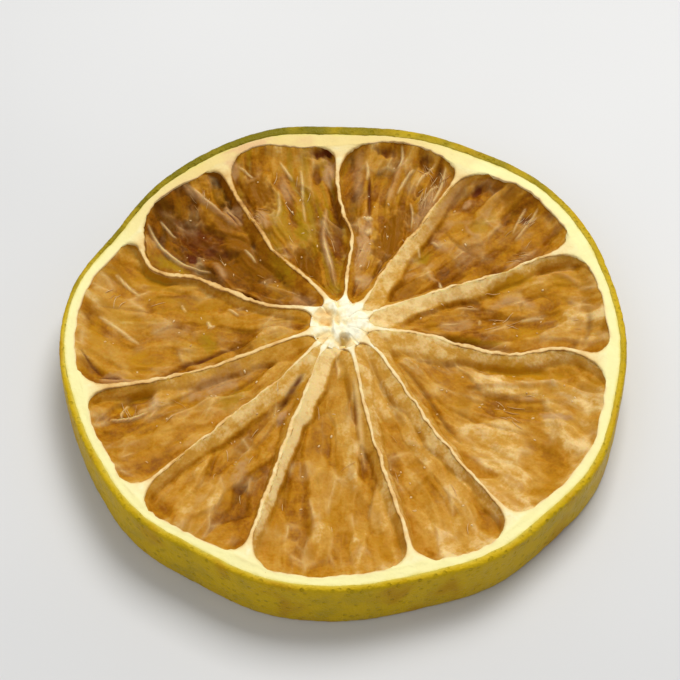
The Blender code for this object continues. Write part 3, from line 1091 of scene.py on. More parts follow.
def new_material(name: str) -> tuple[bpy.types.Material, Graph]:
    """Starts a material.

    Args:
        name: Its name.

    Returns:
        The material and its graph.
    """
    material = bpy.data.materials.new(name)
    material.use_nodes = True
    return material, Graph(material.node_tree)


@dataclass(frozen=True)
class PulpFinish:
    """Collapsed juice sacs: amber skin, from dark brown to pale tan, with patches of other looks.

    Attributes:
        tones: Colours from the darkest tone to the palest, evenly spaced.
        layers: The looks that lie over them, from the lowest layer to the topmost.
        fibre_and_glint: Pale threads and torn sac wall edges, partly painted glints, over all of them.
        roughness: How matt it is.
    """

    tones: tuple[Colour, ...] = tuple(map(paint, ("5F3304", "905506", "B87C16", "CE9A40", "EFCE8C")))
    layers: tuple[tuple[Tint, Colour], ...] = (
        (Tint.GOLD, paint("A47C0C")),
        (Tint.GLOW, paint("8C5604")),
        (Tint.HONEY, paint("BA8212")),
        # Pinkish frosted tissue, partly painted sheen.
        (Tint.FROST, paint("BC905C")),
        # Dark tissue, partly painted shade in hollows and creases.
        (Tint.DARK, paint("5E2407")),
    )
    # The colour of pale threads and torn sac wall, also used for painted glints and highlights.
    fibre_and_glint: Colour = paint("EACB8C")
    roughness: float = 0.42

    def make(self, grains: Grains) -> bpy.types.Material:
        """Builds the material.

        Args:
            grains: The shared node groups.

        Returns:
            The material.
        """
        material, graph = new_material("dried_pulp")
        streak, blotch, fine = grains.put(graph, 300.0, 1500.0, 900.0)
        speck = graph.span(graph.noise(graph.where(), 3600.0, 2.0), 0.3, 0.7)
        shades = ((graph.mask("tone"), 1.0), (streak, 0.08), (blotch, 0.16), (speck, 0.06))
        tone = graph.total(*shades, base=-0.15)
        colour = graph.ramp(tone, (0.0, 0.25, 0.5, 0.75, 1.0), self.tones)
        ragged = graph.total((blotch, 0.35), (streak, 0.25), base=0.65)
        for tint, layer in self.layers:
            share = graph.span(graph.times(graph.mask(tint.value), ragged))
            colour = graph.blend(share, colour, layer)
        rough = graph.total((blotch, 0.16), (graph.mask("frost"), 0.15), base=self.roughness - 0.06)
        graph.shade(
            {
                "Base Color": graph.blend(graph.mask("pale"), colour, self.fibre_and_glint),
                "Roughness": rough,
                "Normal": graph.bump(graph.total((streak, 0.3), (fine, 0.3)), 0.0001, 0.6),
                "IOR": 1.45,
                "Specular IOR Level": 0.12,
                "Specular Tint": (1.0, 0.72, 0.38, 1.0),
                "Subsurface Weight": 0.3,
                "Subsurface Radius": (1.0, 0.5, 0.15),
                "Subsurface Scale": 0.0008,
            }
        )
        return material


@dataclass(frozen=True)
class WebFinish:
    """Pith, membranes and core: chalky cream, tan where a wall runs down into the pulp.

    Attributes:
        crests: Colours of the crests, from brown to white.
        walls: Colours of the walls below them, where the grain is low and where it is high.
        pith: The ring's colour.
        old_pith: The ring's colour where it has yellowed.
        blush: Brown tint on the pith.
        skin: The ring's colour beside the zest.
        pit: The pits of the core, partly their own colour and partly painted shade in the deep pit.
        roughness: How matt it is.
    """

    crests: tuple[Colour, ...] = tuple(map(paint, ("AC7630", "DDAC60", "F0CD8C", "F8E4AC", "FFF9DC")))
    walls: tuple[Colour, Colour] = (paint("AC7630"), paint("DDAC60"))
    pith: Colour = paint("FAF1AC")
    old_pith: Colour = paint("EBCF84")
    blush: Colour = paint("E4BA84")
    skin: Colour = paint("E6D978")
    pit: Colour = paint("A98434")
    roughness: float = 0.72

    def make(self, grains: Grains) -> bpy.types.Material:
        """Builds the material.

        Args:
            grains: The shared node groups.

        Returns:
            The material.
        """
        material, graph = new_material("white_web")
        streak, blotch, fine = grains.put(graph, 500.0, 2200.0, 900.0)
        white = graph.total((graph.mask("white"), 1.0), (blotch, 0.26), (fine, 0.1), base=-0.21)
        colour = graph.ramp(white, (0.0, 0.24, 0.5, 0.76, 1.0), self.crests)
        pith = graph.blend(graph.mask("aged"), self.pith, self.old_pith)
        colour = graph.blend(graph.mask("ring"), colour, pith)
        wall = graph.blend(blotch, *self.walls)
        colour = graph.blend(graph.broken("wall", streak, 0.4, 0.85), colour, wall)
        colour = graph.blend(graph.broken("pit", blotch, 0.7, 0.45), colour, self.pit)
        colour = graph.blend(graph.broken("blush", blotch, 0.5, 0.6), colour, self.blush)
        skin = graph.span(graph.total((graph.mask("skin"), 1.0), (blotch, 0.3), base=-0.15))
        graph.shade(
            {
                "Base Color": graph.blend(skin, colour, self.skin),
                "Roughness": graph.total((blotch, 0.15), base=self.roughness - 0.08),
                "Normal": graph.bump(graph.total((blotch, 0.4), (fine, 0.25)), 0.00012, 0.6),
                "Specular IOR Level": 0.25,
            }
        )
        return material


@dataclass(frozen=True)
class ZestFinish:
    """The coloured skin: olive green on one side of the fruit, yellow on the other, with small oil pores."""

    green: Colour = paint("7C7004")
    yellow: Colour = paint("D4AE0C")
    ochre: Colour = paint("BE8C04")
    dark: Colour = paint("6A5A04")
    cut: Colour = paint("D2BC48")
    roughness: float = 0.5

    def make(self, grains: Grains) -> bpy.types.Material:
        """Builds the material.

        Args:
            grains: The shared node groups.

        Returns:
            The material.
        """
        material, graph = new_material("dried_zest")
        streak, blotch, fine = grains.put(graph, 700.0, 700.0, 420.0)
        yellow = graph.span(graph.total((graph.mask("yellow"), 1.0), (blotch, 0.3), base=-0.15))
        colour = graph.blend(yellow, self.green, self.yellow)
        ripe = graph.span(graph.noise(graph.where(), 210.0, 3.0, 0.4), 0.5, 0.72)
        colour = graph.blend(graph.times(ripe, graph.mask("yellow")), colour, self.ochre)
        pores = graph.node("ShaderNodeTexVoronoi", {"Vector": graph.where(), "Scale": 1500.0})
        pore = graph.span(pores.outputs["Distance"], 0.36, 0.1)
        colour = graph.blend(graph.times(pore, graph.total((blotch, 0.3))), colour, self.dark)
        cut = graph.span(graph.total((graph.mask("cut"), 1.0), (blotch, 0.25), base=-0.12), 0.0, 1.1)
        height = graph.total((pore, -0.6), (streak, 0.3), (fine, 0.3))
        graph.shade(
            {
                "Base Color": graph.blend(cut, colour, self.cut),
                "Roughness": graph.total((blotch, 0.2), base=self.roughness - 0.1),
                "Normal": graph.bump(height, 0.0002, 0.8),
                "Specular IOR Level": 0.18,
                "Specular Tint": (1.0, 0.93, 0.55, 1.0),
            }
        )
        return material


@dataclass(frozen=True)
class ThreadFinish:
    """Pale dry threads of sac wall, and pale crumbs that partly stand for painted glints."""

    pale: Colour = paint("EDCF96")
    amber: Colour = paint("C08A3C")

    def make(self, grains: Grains) -> bpy.types.Material:
        """Builds the material.

        Args:
            grains: The shared node groups.

        Returns:
            The material.
        """
        material, graph = new_material("dry_threads")
        _, blotch, _ = grains.put(graph, 900.0, 900.0, 1500.0)
        share = graph.span(graph.total((graph.mask("amber"), 1.0), (blotch, 0.3)), 0.0, 1.2)
        colour = graph.blend(share, self.pale, self.amber)
        graph.shade({"Base Color": colour, "Roughness": graph.total((blotch, 0.2), base=0.35)})
        return material


@dataclass(frozen=True)
class TableFinish:
    """A plain pale table top with the faintest unevenness."""

    light: Colour = (0.74, 0.74, 0.735, 1.0)
    shade: Colour = (0.68, 0.68, 0.675, 1.0)

    def make(self) -> bpy.types.Material:
        """Builds the material.

        Returns:
            The material.
        """
        material, graph = new_material("pale_table")
        cloud = graph.noise(graph.where(), 9.0)
        colour = graph.blend(graph.span(cloud, 0.3, 0.7), self.light, self.shade)
        graph.shade({"Base Color": colour, "Roughness": graph.total((cloud, 0.15), base=0.55)})
        return material


@dataclass
class Zest:
    """The coloured skin: a thin band round the slice, with its cut edge on both faces."""

    form: SliceForm
    columns: int = 900
    proud: float = 0.03
    pucker: float = 0.07
    pucker_level: float = 0.35
    pucker_parts: tuple[tuple[float, float, float, int], ...] = ((1.0, 0.8, 22, 64), (0.5, 1.6, 45, 66))
    top_grain: float = 0.05
    yellows: tuple[float, ...] = (0.75, 0.55, 0.45, 0.30, -0.05, 0.30, 0.75, 0.85, 0.85, 0.90, 0.95, 0.85)
    cuts: tuple[float, ...] = (0.30, 0.25, 0.22, 0.14, 0.10, 0.10, 0.50, 0.60, 0.60, 0.70, 0.60, 0.45)

    def _profile(self) -> list[tuple[float, float, Face, float]]:
        """Section through the band, from its inner edge over the top and down to its lower inner edge.

        Returns:
            For each row: share of the width that it lies inside the outline, depth below its own face as a
            share of the rim's height, the face it is measured from, and how much of it is cut tissue.
        """
        upper = [(1.0, 0.06, 3.0), (0.97, 0.012, 3.0), (0.88, 0.002, 1.8), (0.74, -0.004, 0.9)]
        upper += [(0.58, -0.006, 0.5), (0.42, -0.002, 0.25), (0.3, 0.006, 0.1), (0.18, 0.02, 0.0)]
        upper += [(0.09, 0.05, 0.0), (0.04, 0.1, 0.0), (0.015, 0.17, 0.0)]
        rows = [(inset, depth, Face.UPPER, cut) for inset, depth, cut in upper]
        rows += [(0.0, depth, Face.UPPER, 0.0) for depth in np.linspace(0.24, 0.56, 6)]
        under = [(0.0, 0.36), (0.0, 0.28), (0.015, 0.2), (0.05, 0.12), (0.1, 0.06), (0.2, 0.02), (0.32, 0.0)]
        rows += [(inset, depth, Face.UNDER, 0.0) for inset, depth in under]
        rows += [(0.5, 0.0, Face.UNDER, 0.5), (0.8, 0.0, Face.UNDER, 1.0), (1.0, 0.002, Face.UNDER, 1.0)]
        rows += [(1.0, 0.06, Face.UNDER, 1.0)]
        return rows

    def make(self, material: bpy.types.Material) -> None:
        """Builds the band.

        Args:
            material: Its finish.
        """
        form = self.form
        bearing = np.linspace(0, math.tau, self.columns, endpoint=False)
        width = form.zest_width(bearing) + ripples(bearing, (0.07, 16, 61), (0.04, 60, 62))
        yellow = read_round(self.yellows, bearing) + ripples(bearing, (0.12, 9, 63))
        cuts = read_round(self.cuts, bearing)
        shell = Shell()
        rows = []
        for inset, depth, face, cut in self._profile():
            reach = form.reach(bearing, inset * width)
            if face is Face.UPPER:
                height = form.rim_top(bearing) + self.proud - depth * form.rim_height
            else:
                height = np.full(self.columns, depth * form.rim_height)
            outside = 1 - inset
            puckers = sum(
                high * round_about(layered, bearing, height * rise, rate, seed)
                for high, rise, rate, seed in self.pucker_parts
            )
            reach = reach - self.pucker * outside * np.clip(self.pucker_level - puckers, 0, 1.2)
            if face is Face.UPPER and depth < 0.02:
                height = height + self.top_grain * round_about(noise, bearing, inset * 3, 40, 67) * outside
            place = form.place(bearing, reach, height)
            masks = {
                "yellow": yellow,
                "cut": cut * cuts * (0.85 + 0.25 * round_about(noise, bearing, inset, 30, 68)),
                "outwards": place[:, 0] * MM,
                "sideways": place[:, 1] * MM,
            }
            rows.append(shell.points(place, **masks))
        rows.append(rows[0])
        shell.skin(np.stack(rows), wrap=True)
        shell.build("zest", material)


CORE_MARKS = (
    # The core's dark pit sinks deep: partly its own colour, partly painted shade in the pit.
    *patches(Tint.DARK, (2.0, 281, 0.9, 0.55, 1.0, -0.7)),
    *patches(Tint.GLOW, (1.45, 150, 1.15, 0.95, 0.8, -0.45)),
    *patches(Tint.FROST, (2.0, 226, 0.9, 0.8, 0.35, -0.15)),
    *patches(Tint.PALE, (1.4, 20, 1.8, 1.2, 1.0, 0.15, 80)),
    *folds(Tint.PALE,
        (0.24, 0.3, 0.9, (2.6, 104), (1.2, 112), (0.5, 200), (1.3, 262)),
        (0.6, 0.2, 0.8, (2.3, 55), (1.8, 15), (2.3, -40)),
    ),
)


class Part(Enum):
    """The parts of the web, from the core outwards."""

    CORE = "core"
    POCKET = "pocket"
    RING = "ring"


@dataclass
class Web:
    """The white tissue in one piece: the pith ring, the eleven membranes and the core."""

    form: SliceForm
    crest_steps: int = 6
    pocket_steps: int = 18
    out_steps: int = 190
    wall_steps: int = 7
    core_rows: tuple[float, ...] = tuple(0.02 + 0.028 * step for step in range(35))
    ring_insets: tuple[float, ...] = (0.04, 0.1, 0.18, 0.28, 0.4, 0.52, 0.64, 0.75, 0.86, 0.96)
    hidden_share: float = 0.86
    star_notch: float = 0.2
    bulge: float = 0.12
    swell: Ruffle = Ruffle(0.07, 1.1, 71, 3)
    grain: Ruffle = Ruffle(0.03, 0.35, 72)
    core_wobble: Ruffle = Ruffle(0.8, 0.7, 77)
    rind_wobble: Ruffle = Ruffle(0.8, 0.6, 80)
    edge_drop: float = 0.06
    edge_brown: float = 0.45
    core_white: float = 2.3
    rind_white: float = 1.3
    ring_fade: float = 0.9
    pit_depth: float = 0.2
    lip_width: float = 0.14
    fringe_width: float = 0.5
    ring_dip: float = 0.05
    outer_drop: float = 0.08
    inner_drop: float = 0.06
    least_height: float = 0.04
    frays: tuple[tuple[float, float, int], ...] = ((0.10, 1.3, 74), (0.05, 0.4, 75))
    mottles: tuple[tuple[float, float, int], ...] = ((0.16, 2.5, 76), (0.08, 0.8, 79))
    aged_bearing: float = math.radians(105)

    def _columns(self, share: float) -> tuple[Array, Array, Array, Array]:
        """Bearings of every column in one row.

        Args:
            share: How far out the row lies, from 0 at the core to 1 at the rind.

        Returns:
            The bearings, the place across a crest from -1 to 1 and zero elsewhere, the place across a pocket
            from 0 to 1 and zero elsewhere, and the number of the membrane at or before each column.
        """
        bearings, on_crest, in_pocket, owners = [], [], [], []
        level = np.array([share])
        across = np.linspace(-1, 1, self.crest_steps + 1)
        inside = np.linspace(0, 1, self.pocket_steps + 1)[1:-1]
        for index in range(len(MEMBRANES)):
            here, there = (self.form.path(place, level)[0] for place in (index, index + 1))
            half, next_half = (self.form.half_angle(place, level)[0] for place in (index, index + 1))
            bearings.append(here + across * half)
            on_crest.append(across)
            in_pocket.append(np.zeros(len(across)))
            bearings.append(here + half + inside * (there - next_half - here - half))
            on_crest.append(np.zeros(len(inside)))
            in_pocket.append(inside)
            owners.append(np.full(len(across) + len(inside), index))
        return tuple(np.concatenate(columns) for columns in (bearings, on_crest, in_pocket, owners))

    def _rows(self) -> list[tuple[Part, float]]:
        """Names the rows from the core outwards.

        Returns:
            For each row, the part of the web that it lies in and its place in that part.
        """
        pocket_rows = np.linspace(0, 1, self.out_steps + 1)
        levels = {Part.CORE: self.core_rows, Part.POCKET: pocket_rows, Part.RING: self.ring_insets}
        return [(part, level) for part, places in levels.items() for level in places]

    def _row(self, part: Part, level: float, face: Face) -> tuple[Array, dict[str, Array]]:
        """Points of one row on one face.

        Args:
            part: Which part of the web.
            level: The row's place in that part.
            face: Which face.

        Returns:
            The points and their masks.
        """
        form = self.form
        share = {Part.CORE: 0.0, Part.POCKET: level, Part.RING: 1.0}[part]
        bearing, on_crest, in_pocket, owner = self._columns(share)
        inner = form.inner_reach(bearing)
        shares = np.full(bearing.shape, share)
        between = np.sin(math.pi * in_pocket)
        if part is Part.CORE:
            reach = form.core_radius * level
        elif part is Part.POCKET:
            reach = form.core_radius + share * (inner - form.core_radius)
        else:
            hidden = form.reach(bearing, self.hidden_share * form.zest_width(bearing))
            reach = inner + level * (hidden - inner)
        place = form.place(bearing, reach, 0.0)
        x, y = place[..., 0], place[..., 1]
        crest = form.crest_top(bearing, shares) if part is not Part.RING else form.rim_top(bearing)
        under = form.crest_under(shares) if part is not Part.RING else np.zeros(bearing.shape)
        grain = self.swell.at(x, y) + self.grain.at(x, y)
        edge = on_crest**4 * (level**8 if part is Part.CORE else 1.0)
        drop = self.edge_drop * edge
        from_core = np.clip(reach - form.core_radius, 0, 99)
        from_rind = np.clip(inner - reach, 0, 99)
        white = np.array([membrane.white for membrane in MEMBRANES])[owner]
        ends = np.maximum(np.exp(-from_core / self.core_white), np.exp(-from_rind / self.rind_white))
        white = white + (1 - white) * ends - self.edge_brown * edge
        blush, skin, pit = (np.zeros(bearing.shape) for _ in range(3))
        from_x, from_y = reach * np.cos(bearing), reach * np.sin(bearing)
        if part is Part.CORE:
            pits = ease(noise(x / 0.9 + 3.1, y / 0.9, 73), 0.2, 0.8)
            drop = drop + self.star_notch * between * level**3 + self.pit_depth * pits * (1 - level**4)
            grain = grain * 1.6
            # Painted shade: the core is browner where its pits sink.
            white = white - 0.12 - 0.2 * pits
            looks, lift = lay_marks(CORE_MARKS, Spots(from_x, from_y, self.core_wobble.at(x, y)))
            drop = drop - (lift if face is Face.UPPER else 0.0)
            white = white + 0.4 * looks[Tint.PALE] - 0.6 * looks[Tint.GLOW] - 0.4 * looks[Tint.FROST]
            # The dark pit's colour: partly its own, partly painted shade in the deep pit.
            pit = looks[Tint.DARK]
        if part is Part.POCKET:
            fray = sum(high * noise(reach / size, bearing * 3, seed) for high, size, seed in self.frays)
            grain = grain + fray * math.sin(math.pi * share)
            gutter = share in (0.0, 1.0)
            drop = drop + gutter * np.where(share < 0.5, self.star_notch, 0.08) * between
            lane = owner * 3.3
            white = white + sum(high * noise(reach / size, lane, seed) for high, size, seed in self.mottles)
        if part is Part.RING or share > 0.8:
            looks, _ = lay_marks(RIND_MARKS, Spots(from_x, from_y, self.rind_wobble.at(x, y)))
            beside = np.abs(reach - inner)
            lip = np.exp(-beside / self.lip_width) * (between > 0)
            fringe = np.exp(-beside / self.fringe_width) * ease(ripples(bearing, (1.0, 30, 81)), -0.3, 0.6)
            blush = np.max([looks[Tint.FROST], 0.8 * lip, 0.3 * fringe], axis=0)
        if part is Part.RING:
            outer = float(ease(np.array(level), 0.62, 1.0))
            drop = drop + self.ring_dip * math.sin(math.pi * level) + self.outer_drop * outer
            drop = drop + self.inner_drop * max(0.0, 1 - level / 0.16) * (between > 0)
            grain = grain * (1 - outer)
            skin = skin + 0.75 * outer
        if face is Face.UPPER:
            place[..., 2] = crest + grain - drop
        else:
            place[..., 2] = under + self.least_height + np.abs(grain) + 0.5 * drop
        masks = {
            "white": np.clip(white, 0, 1),
            "ring": np.exp(-from_rind / self.ring_fade),
            "aged": self.aged(bearing),
            "blush": blush,
            "skin": skin,
            "pit": pit,
            "wall": np.zeros(bearing.shape),
            "outwards": reach * MM,
            "sideways": bearing * form.radius * 0.5 * MM,
        }
        return place, masks

    def aged(self, bearing: Array) -> Array:
        """Gives how far the pith has yellowed at each bearing, most at the back."""
        back = ease(np.cos(bearing - self.aged_bearing), 0.5, 0.92)
        return np.clip(0.85 * back + ripples(bearing, (0.15, 12, 78)), 0, 1)

    def _walls(self, shell: Shell, upper: Array, under: Array, places: dict[int, Array]) -> None:
        """Joins the two faces round every pocket.

        Args:
            shell: The shell to add to.
            upper: Indices of the upper face's points in rows and columns.
            under: The same for the lower face.
            places: Points by index.
        """
        first = len(self.core_rows)
        last = first + self.out_steps
        block = self.crest_steps + self.pocket_steps
        total = upper.shape[1]
        for index in range(len(MEMBRANES)):
            near = index * block + self.crest_steps
            far = ((index + 1) * block) % total
            inside = np.arange(near + 1, near + self.pocket_steps)
            rows = np.arange(first, last + 1)
            loop = [(row, near) for row in rows] + [(last, column) for column in inside]
            loop += [(row, far) for row in rows[::-1]] + [(first, column) for column in inside[::-1]]
            rings = np.array([[grid[spot] for spot in loop] for grid in (upper, under)])
            at_rind = np.array([row > last - 8 for row, _ in loop])
            top, bottom = (np.array([places[i] for i in ring]) for ring in rings)
            run = np.roll(top, -1, axis=0) - np.roll(top, 1, axis=0)
            run[:, 2] = 0
            into = np.stack([run[:, 1], -run[:, 0], run[:, 2]], axis=-1)
            into /= np.linalg.norm(into, axis=1, keepdims=True) + 1e-9
            grid = [rings[0]]
            for step in range(1, self.wall_steps):
                down = step / self.wall_steps
                swell = self.bulge * math.sin(math.pi * down)
                spots = top + (bottom - top) * down + into * swell
                x, y, height = spots.T
                depth = top[:, 2] - height
                masks = {
                    "white": 0.4,
                    "wall": np.where(at_rind, ease(depth, 0.6, 1.9), ease(depth, 0.25, 1.4)),
                    "ring": at_rind * ease(1.6 - depth, 0.0, 1.2),
                    "aged": self.aged(np.arctan2(y, x)),
                    "outwards": np.hypot(x, y) * MM,
                    "sideways": height * MM,
                }
                grid.append(shell.points(spots, **masks))
            grid.append(rings[1])
            shell.skin(np.stack(grid), wrap=True)

    def make(self, material: bpy.types.Material) -> None:
        """Builds the web.

        Args:
            material: Its finish.
        """
        shell = Shell()
        rows = self._rows()
        places: dict[int, Array] = {}
        faces = {}
        for face in Face:
            grid = []
            for part, level in rows:
                points, masks = self._row(part, level, face)
                indices = shell.points(points, **masks)
                places.update(zip(indices.tolist(), points))
                grid.append(indices)
            faces[face] = np.stack(grid)
        on_crest = self._columns(0.5)[2] == 0.0
        crest_cells = on_crest & np.roll(on_crest, -1)
        first = len(self.core_rows)
        keep = np.ones((len(rows) - 1, len(on_crest)), bool)
        keep[first : first + self.out_steps] = crest_cells
        for face, grid in faces.items():
            shell.skin(grid, wrap=True, keep=keep)
            middle = np.mean([places[i] for i in grid[0].tolist()], axis=0)
            tip = shell.points(middle[None], white=0.8, outwards=0.0, sideways=0.0)
            shell.fan(grid[0], int(tip[0]))
        self._walls(shell, faces[Face.UPPER], faces[Face.UNDER], places)
        shell.skin(np.stack([faces[Face.UPPER][-1], faces[Face.UNDER][-1]]), wrap=True)
        shell.build("white_web", material)


@dataclass(frozen=True)
class Drape:
    """How the pulp hangs from the walls round its pocket.

    Attributes:
        hang: 1 at the top of a wall, falling to 0 where the pulp lies free.
        band: 1 on the bands that lean on the two membranes, and 0 off them.
        pale: How much paler those bands are.
        foot: 1 along the crease at the foot of a band.
    """

    hang: Array
    band: Array
    pale: Array
    foot: Array


@dataclass
class Pulp:
    """The collapsed juice sacs in the eleven pockets."""

    form: SliceForm
    across_steps: int = 84
    out_steps: int = 160
    under_core: float = 1.1
    under_rind: float = 1.35
    tuck: float = 0.12
    rind_ease: float = 0.95
    core_ease: float = 0.7
    pane_length: float = 5.0
    pane_width: float = 2.0
    pane_height: float = 0.42
    small_height: float = 0.13
    ridge_height: float = 0.15
    groove_depth: float = 0.11
    strand_height: float = 0.14
    strand_seam: float = 0.05
    foot_depth: float = 0.12
    crest_step: float = 0.15
    core_step: float = 0.22
    lean_root: float = 2.025
    lean_loss: float = 1.425
    lean_unevenness: float = 0.3
    foot_width: float = 0.25
    proud: float = 0.15
    proud_from: float = -0.05
    out_bend: Ruffle = Ruffle(0.2, 6.0, 4)
    side_bend: Ruffle = Ruffle(0.25, 5.0, 5)
    broad_wobble: Ruffle = Ruffle(0.7, 1.1, 2)
    fine_wobble: Ruffle = Ruffle(0.5, 0.4, 3)
    ridges: Ruffle = Ruffle(1.0, 2.6, 11)
    swell: Ruffle = Ruffle(0.22, 6.0, 12, 2)
    crinkle: Ruffle = Ruffle(0.045, 0.8, 14, 2)
    cloud: Ruffle = Ruffle(0.10, 3.5, 16, 3)
    honey: Ruffle = Ruffle(1.0, 2.4, 21)
    lower_span: tuple[float, float] = (0.3, 2.1)
    pane_tone: float = 0.25
    small_tone: float = 0.16
    # Painted light and shade: how much paler raised relief is, and how much darker the hollows are.
    relief_shading: float = 0.14
    # Painted shade: how much darker the crease at the foot of a band is.
    foot_shade: float = 0.10
    strand_tone: float = 0.35
    core_tone: float = 0.18
    rind_tone: float = 0.12
    side_tone: float = 0.2
    band_hold: float = 0.8

    def sides(self, index: int, level: Array) -> tuple[Array, Array]:
        """Bearings of a pocket's two sides.

        Args:
            index: Which pocket.
            level: Place from the core, 0, to the rind, 1.

        Returns:
            The bearing where the pocket starts and the bearing where it ends, in radians.
        """
        form = self.form
        low = form.path(index, level) + form.half_angle(index, level)
        return low, form.path(index + 1, level) - form.half_angle(index + 1, level)

    def _drape(self, index: int, gaps: tuple[Array, Array], level: Array, span: Array, seed: int) -> Drape:
        """Works out where the pulp leans on its walls.

        Args:
            index: Which pocket.
            gaps: Distances from the membrane before and the membrane after.
            level: Place from the core, 0, to the rind, 1.
            span: How far it is from the core to the rind.
            seed: Which pattern to draw.

        Returns:
            How it hangs.
        """
        pocket, reach = POCKETS[index], level * span
        loose, foot = np.ones(level.shape), np.zeros(level.shape)
        band, pale = np.zeros(level.shape), np.zeros(level.shape)
        first = (gaps[0], pocket.first, pocket.first_pale, 0.5)
        last = (gaps[1], pocket.last, pocket.last_pale, 1.5)
        for gap, lean, paler, lane in (first, last):
            uneven = 1 + self.lean_unevenness * noise(reach / 3.2, lane, seed)
            wide = lean * (self.lean_root - self.lean_loss * level) * uneven
            up = np.clip(1 - gap / wide, 0, 1)
            loose = loose * (1 - up**0.9)
            here = ease(up, 0.0, 0.35)
            band, pale = np.maximum(band, here), np.maximum(pale, paler * here)
            crease = 0.5 + 0.5 * noise(reach / 2.2, lane, seed + 1)
            foot = np.maximum(foot, crease * np.exp(-(((gap - wide) / self.foot_width) ** 2)))
        slack = 1 + 0.6 * noise(gaps[0] / 1.8, reach / 3.0, seed + 15)
        for gap in ((1 - level) * span / (self.rind_ease * slack), reach / self.core_ease):
            loose = loose * (1 - 0.85 * np.exp(-np.clip(gap, 0, 99) ** 1.4))
        pale = pale * (1 - 0.6 * ease(level, 0.6, 0.95))
        return Drape(hang=1 - loose, band=band, pale=pale, foot=foot)

    def held_down(self, over: Array) -> Array:
        """Keeps what stands up above the crests of the membranes down to a little."""
        raised = self.proud * np.tanh((over - self.proud_from) / self.proud) + self.proud_from
        return np.where(over > self.proud_from, raised, over)

    def surface(self, index: int, across: Array, share: Array, face: Face) -> tuple[Array, dict[str, Array]]:
        """The pulp's surface in one pocket.

        Args:
            index: Which pocket.
            across: Place from one membrane, 0, to the next, 1.
            share: Place from the core, 0, to the rind, 1.
            face: Which face.

        Returns:
            The points and their masks.
        """
        form, pocket = self.form, POCKETS[index]
        across, share = np.broadcast_arrays(across, share)
        seed = 100 + 40 * index + (0 if face is Face.UPPER else 20)
        level = np.clip(share, 0, 1)
        low, high = self.sides(index, level)
        span = form.inner_reach(low + (high - low) * across) - form.core_radius
        reach = form.core_radius + share * span
        tuck = self.tuck / reach
        bearing = (low - tuck) + (high - low + 2 * tuck) * across
        width = (high - low) * reach
        place = form.place(bearing, reach, 0.0)
        x, y = place[..., 0], place[..., 1]
        drape = self._drape(index, (across * width, (1 - across) * width), level, span, seed)
        wobble = self.broad_wobble.at(x, y, seed) + self.fine_wobble.at(x, y, seed)
        marks = marks_in(index) if face is Face.UPPER else ()
        looks, lift = lay_marks(marks, Spots(reach * np.cos(bearing), reach * np.sin(bearing), wobble))

        out = reach / self.pane_length + self.out_bend.at(x, y, seed)
        side = (across - 0.5) * width / self.pane_width + self.side_bend.at(x, y, seed)
        panes = pane_field(out, side, seed + 6)
        small = pane_field(out * 2.2 + 4, side * 2.2, seed + 22, 0.14)
        ridge = ease(self.ridges.at(x, y, seed), -0.1, 0.5)
        strands = pane_field(out * 0.8 + 2, side * 2.7 + 0.2 * noise(x / 1.5, y / 1.5, seed + 27), seed + 28)
        relief = self.swell.at(x, y, seed) + self.pane_height * panes.level + self.small_height * small.level
        relief = relief + panes.seam * (self.ridge_height * ridge - self.groove_depth * (1 - ridge))
        lines = self.strand_height * strands.level + self.strand_seam * strands.seam
        relief = relief + pocket.strands * lines + self.crinkle.at(x, y, seed)

        free = (1 - 0.8 * drape.hang) * (1 - 0.6 * drape.band)
        if face is Face.UPPER:
            flush = 0.05 * np.clip(1.5 * np.exp(-(1 - level) * span / 0.3), 0, 1)
            skinned = np.clip(4 * drape.pale, 0, 1) * ease(1 - level, 0.04, 0.14)
            step = self.crest_step - np.maximum(flush, 0.19 * skinned)
            crest = form.crest_top(bearing, level) - step - self.core_step * np.exp(-level * span / 0.3)
            sink = pocket.sink * (0.6 + 0.4 * ease(level, 0.0, 0.5)) * (1 - drape.hang)
            over = (relief + lift) * free - self.foot_depth * drape.foot - sink
            height = crest + self.held_down(over)
        else:
            floor = self.under_core + (self.under_rind - self.under_core) * ease(level, 0.0, 0.8)
            crest = form.crest_under(level) + 0.3
            height = floor + (crest - floor) * drape.hang - relief * free
            height = np.clip(height, *self.lower_span)
        place[..., 2] = height

        tone = pocket.tone + self.cloud.at(x, y, seed) + self.pane_tone * (panes.shade - 0.5)
        # Painted shade: the tone is darker along the crease at the foot of each band.
        tone = tone + self.small_tone * (small.shade - 0.5) - self.foot_shade * drape.foot
        # Painted light and shade: the tone is paler where the relief stands up and darker in the hollows.
        tone = tone + self.relief_shading * np.clip(relief / 0.4, -1, 1)
        tone = tone + self.core_tone * np.exp(-level * span / 1.8)
        tone = tone + self.rind_tone * np.exp(-(1 - level) * span / 1.2)
        beside = np.minimum(across, 1 - across) * width
        tone = tone + self.side_tone * np.exp(-((beside / 0.5) ** 2))
        tone = tone + self.strand_tone * pocket.strands * (strands.shade - 0.5)
        tone = tone + (pocket.tone + drape.pale - tone) * self.band_hold * drape.band
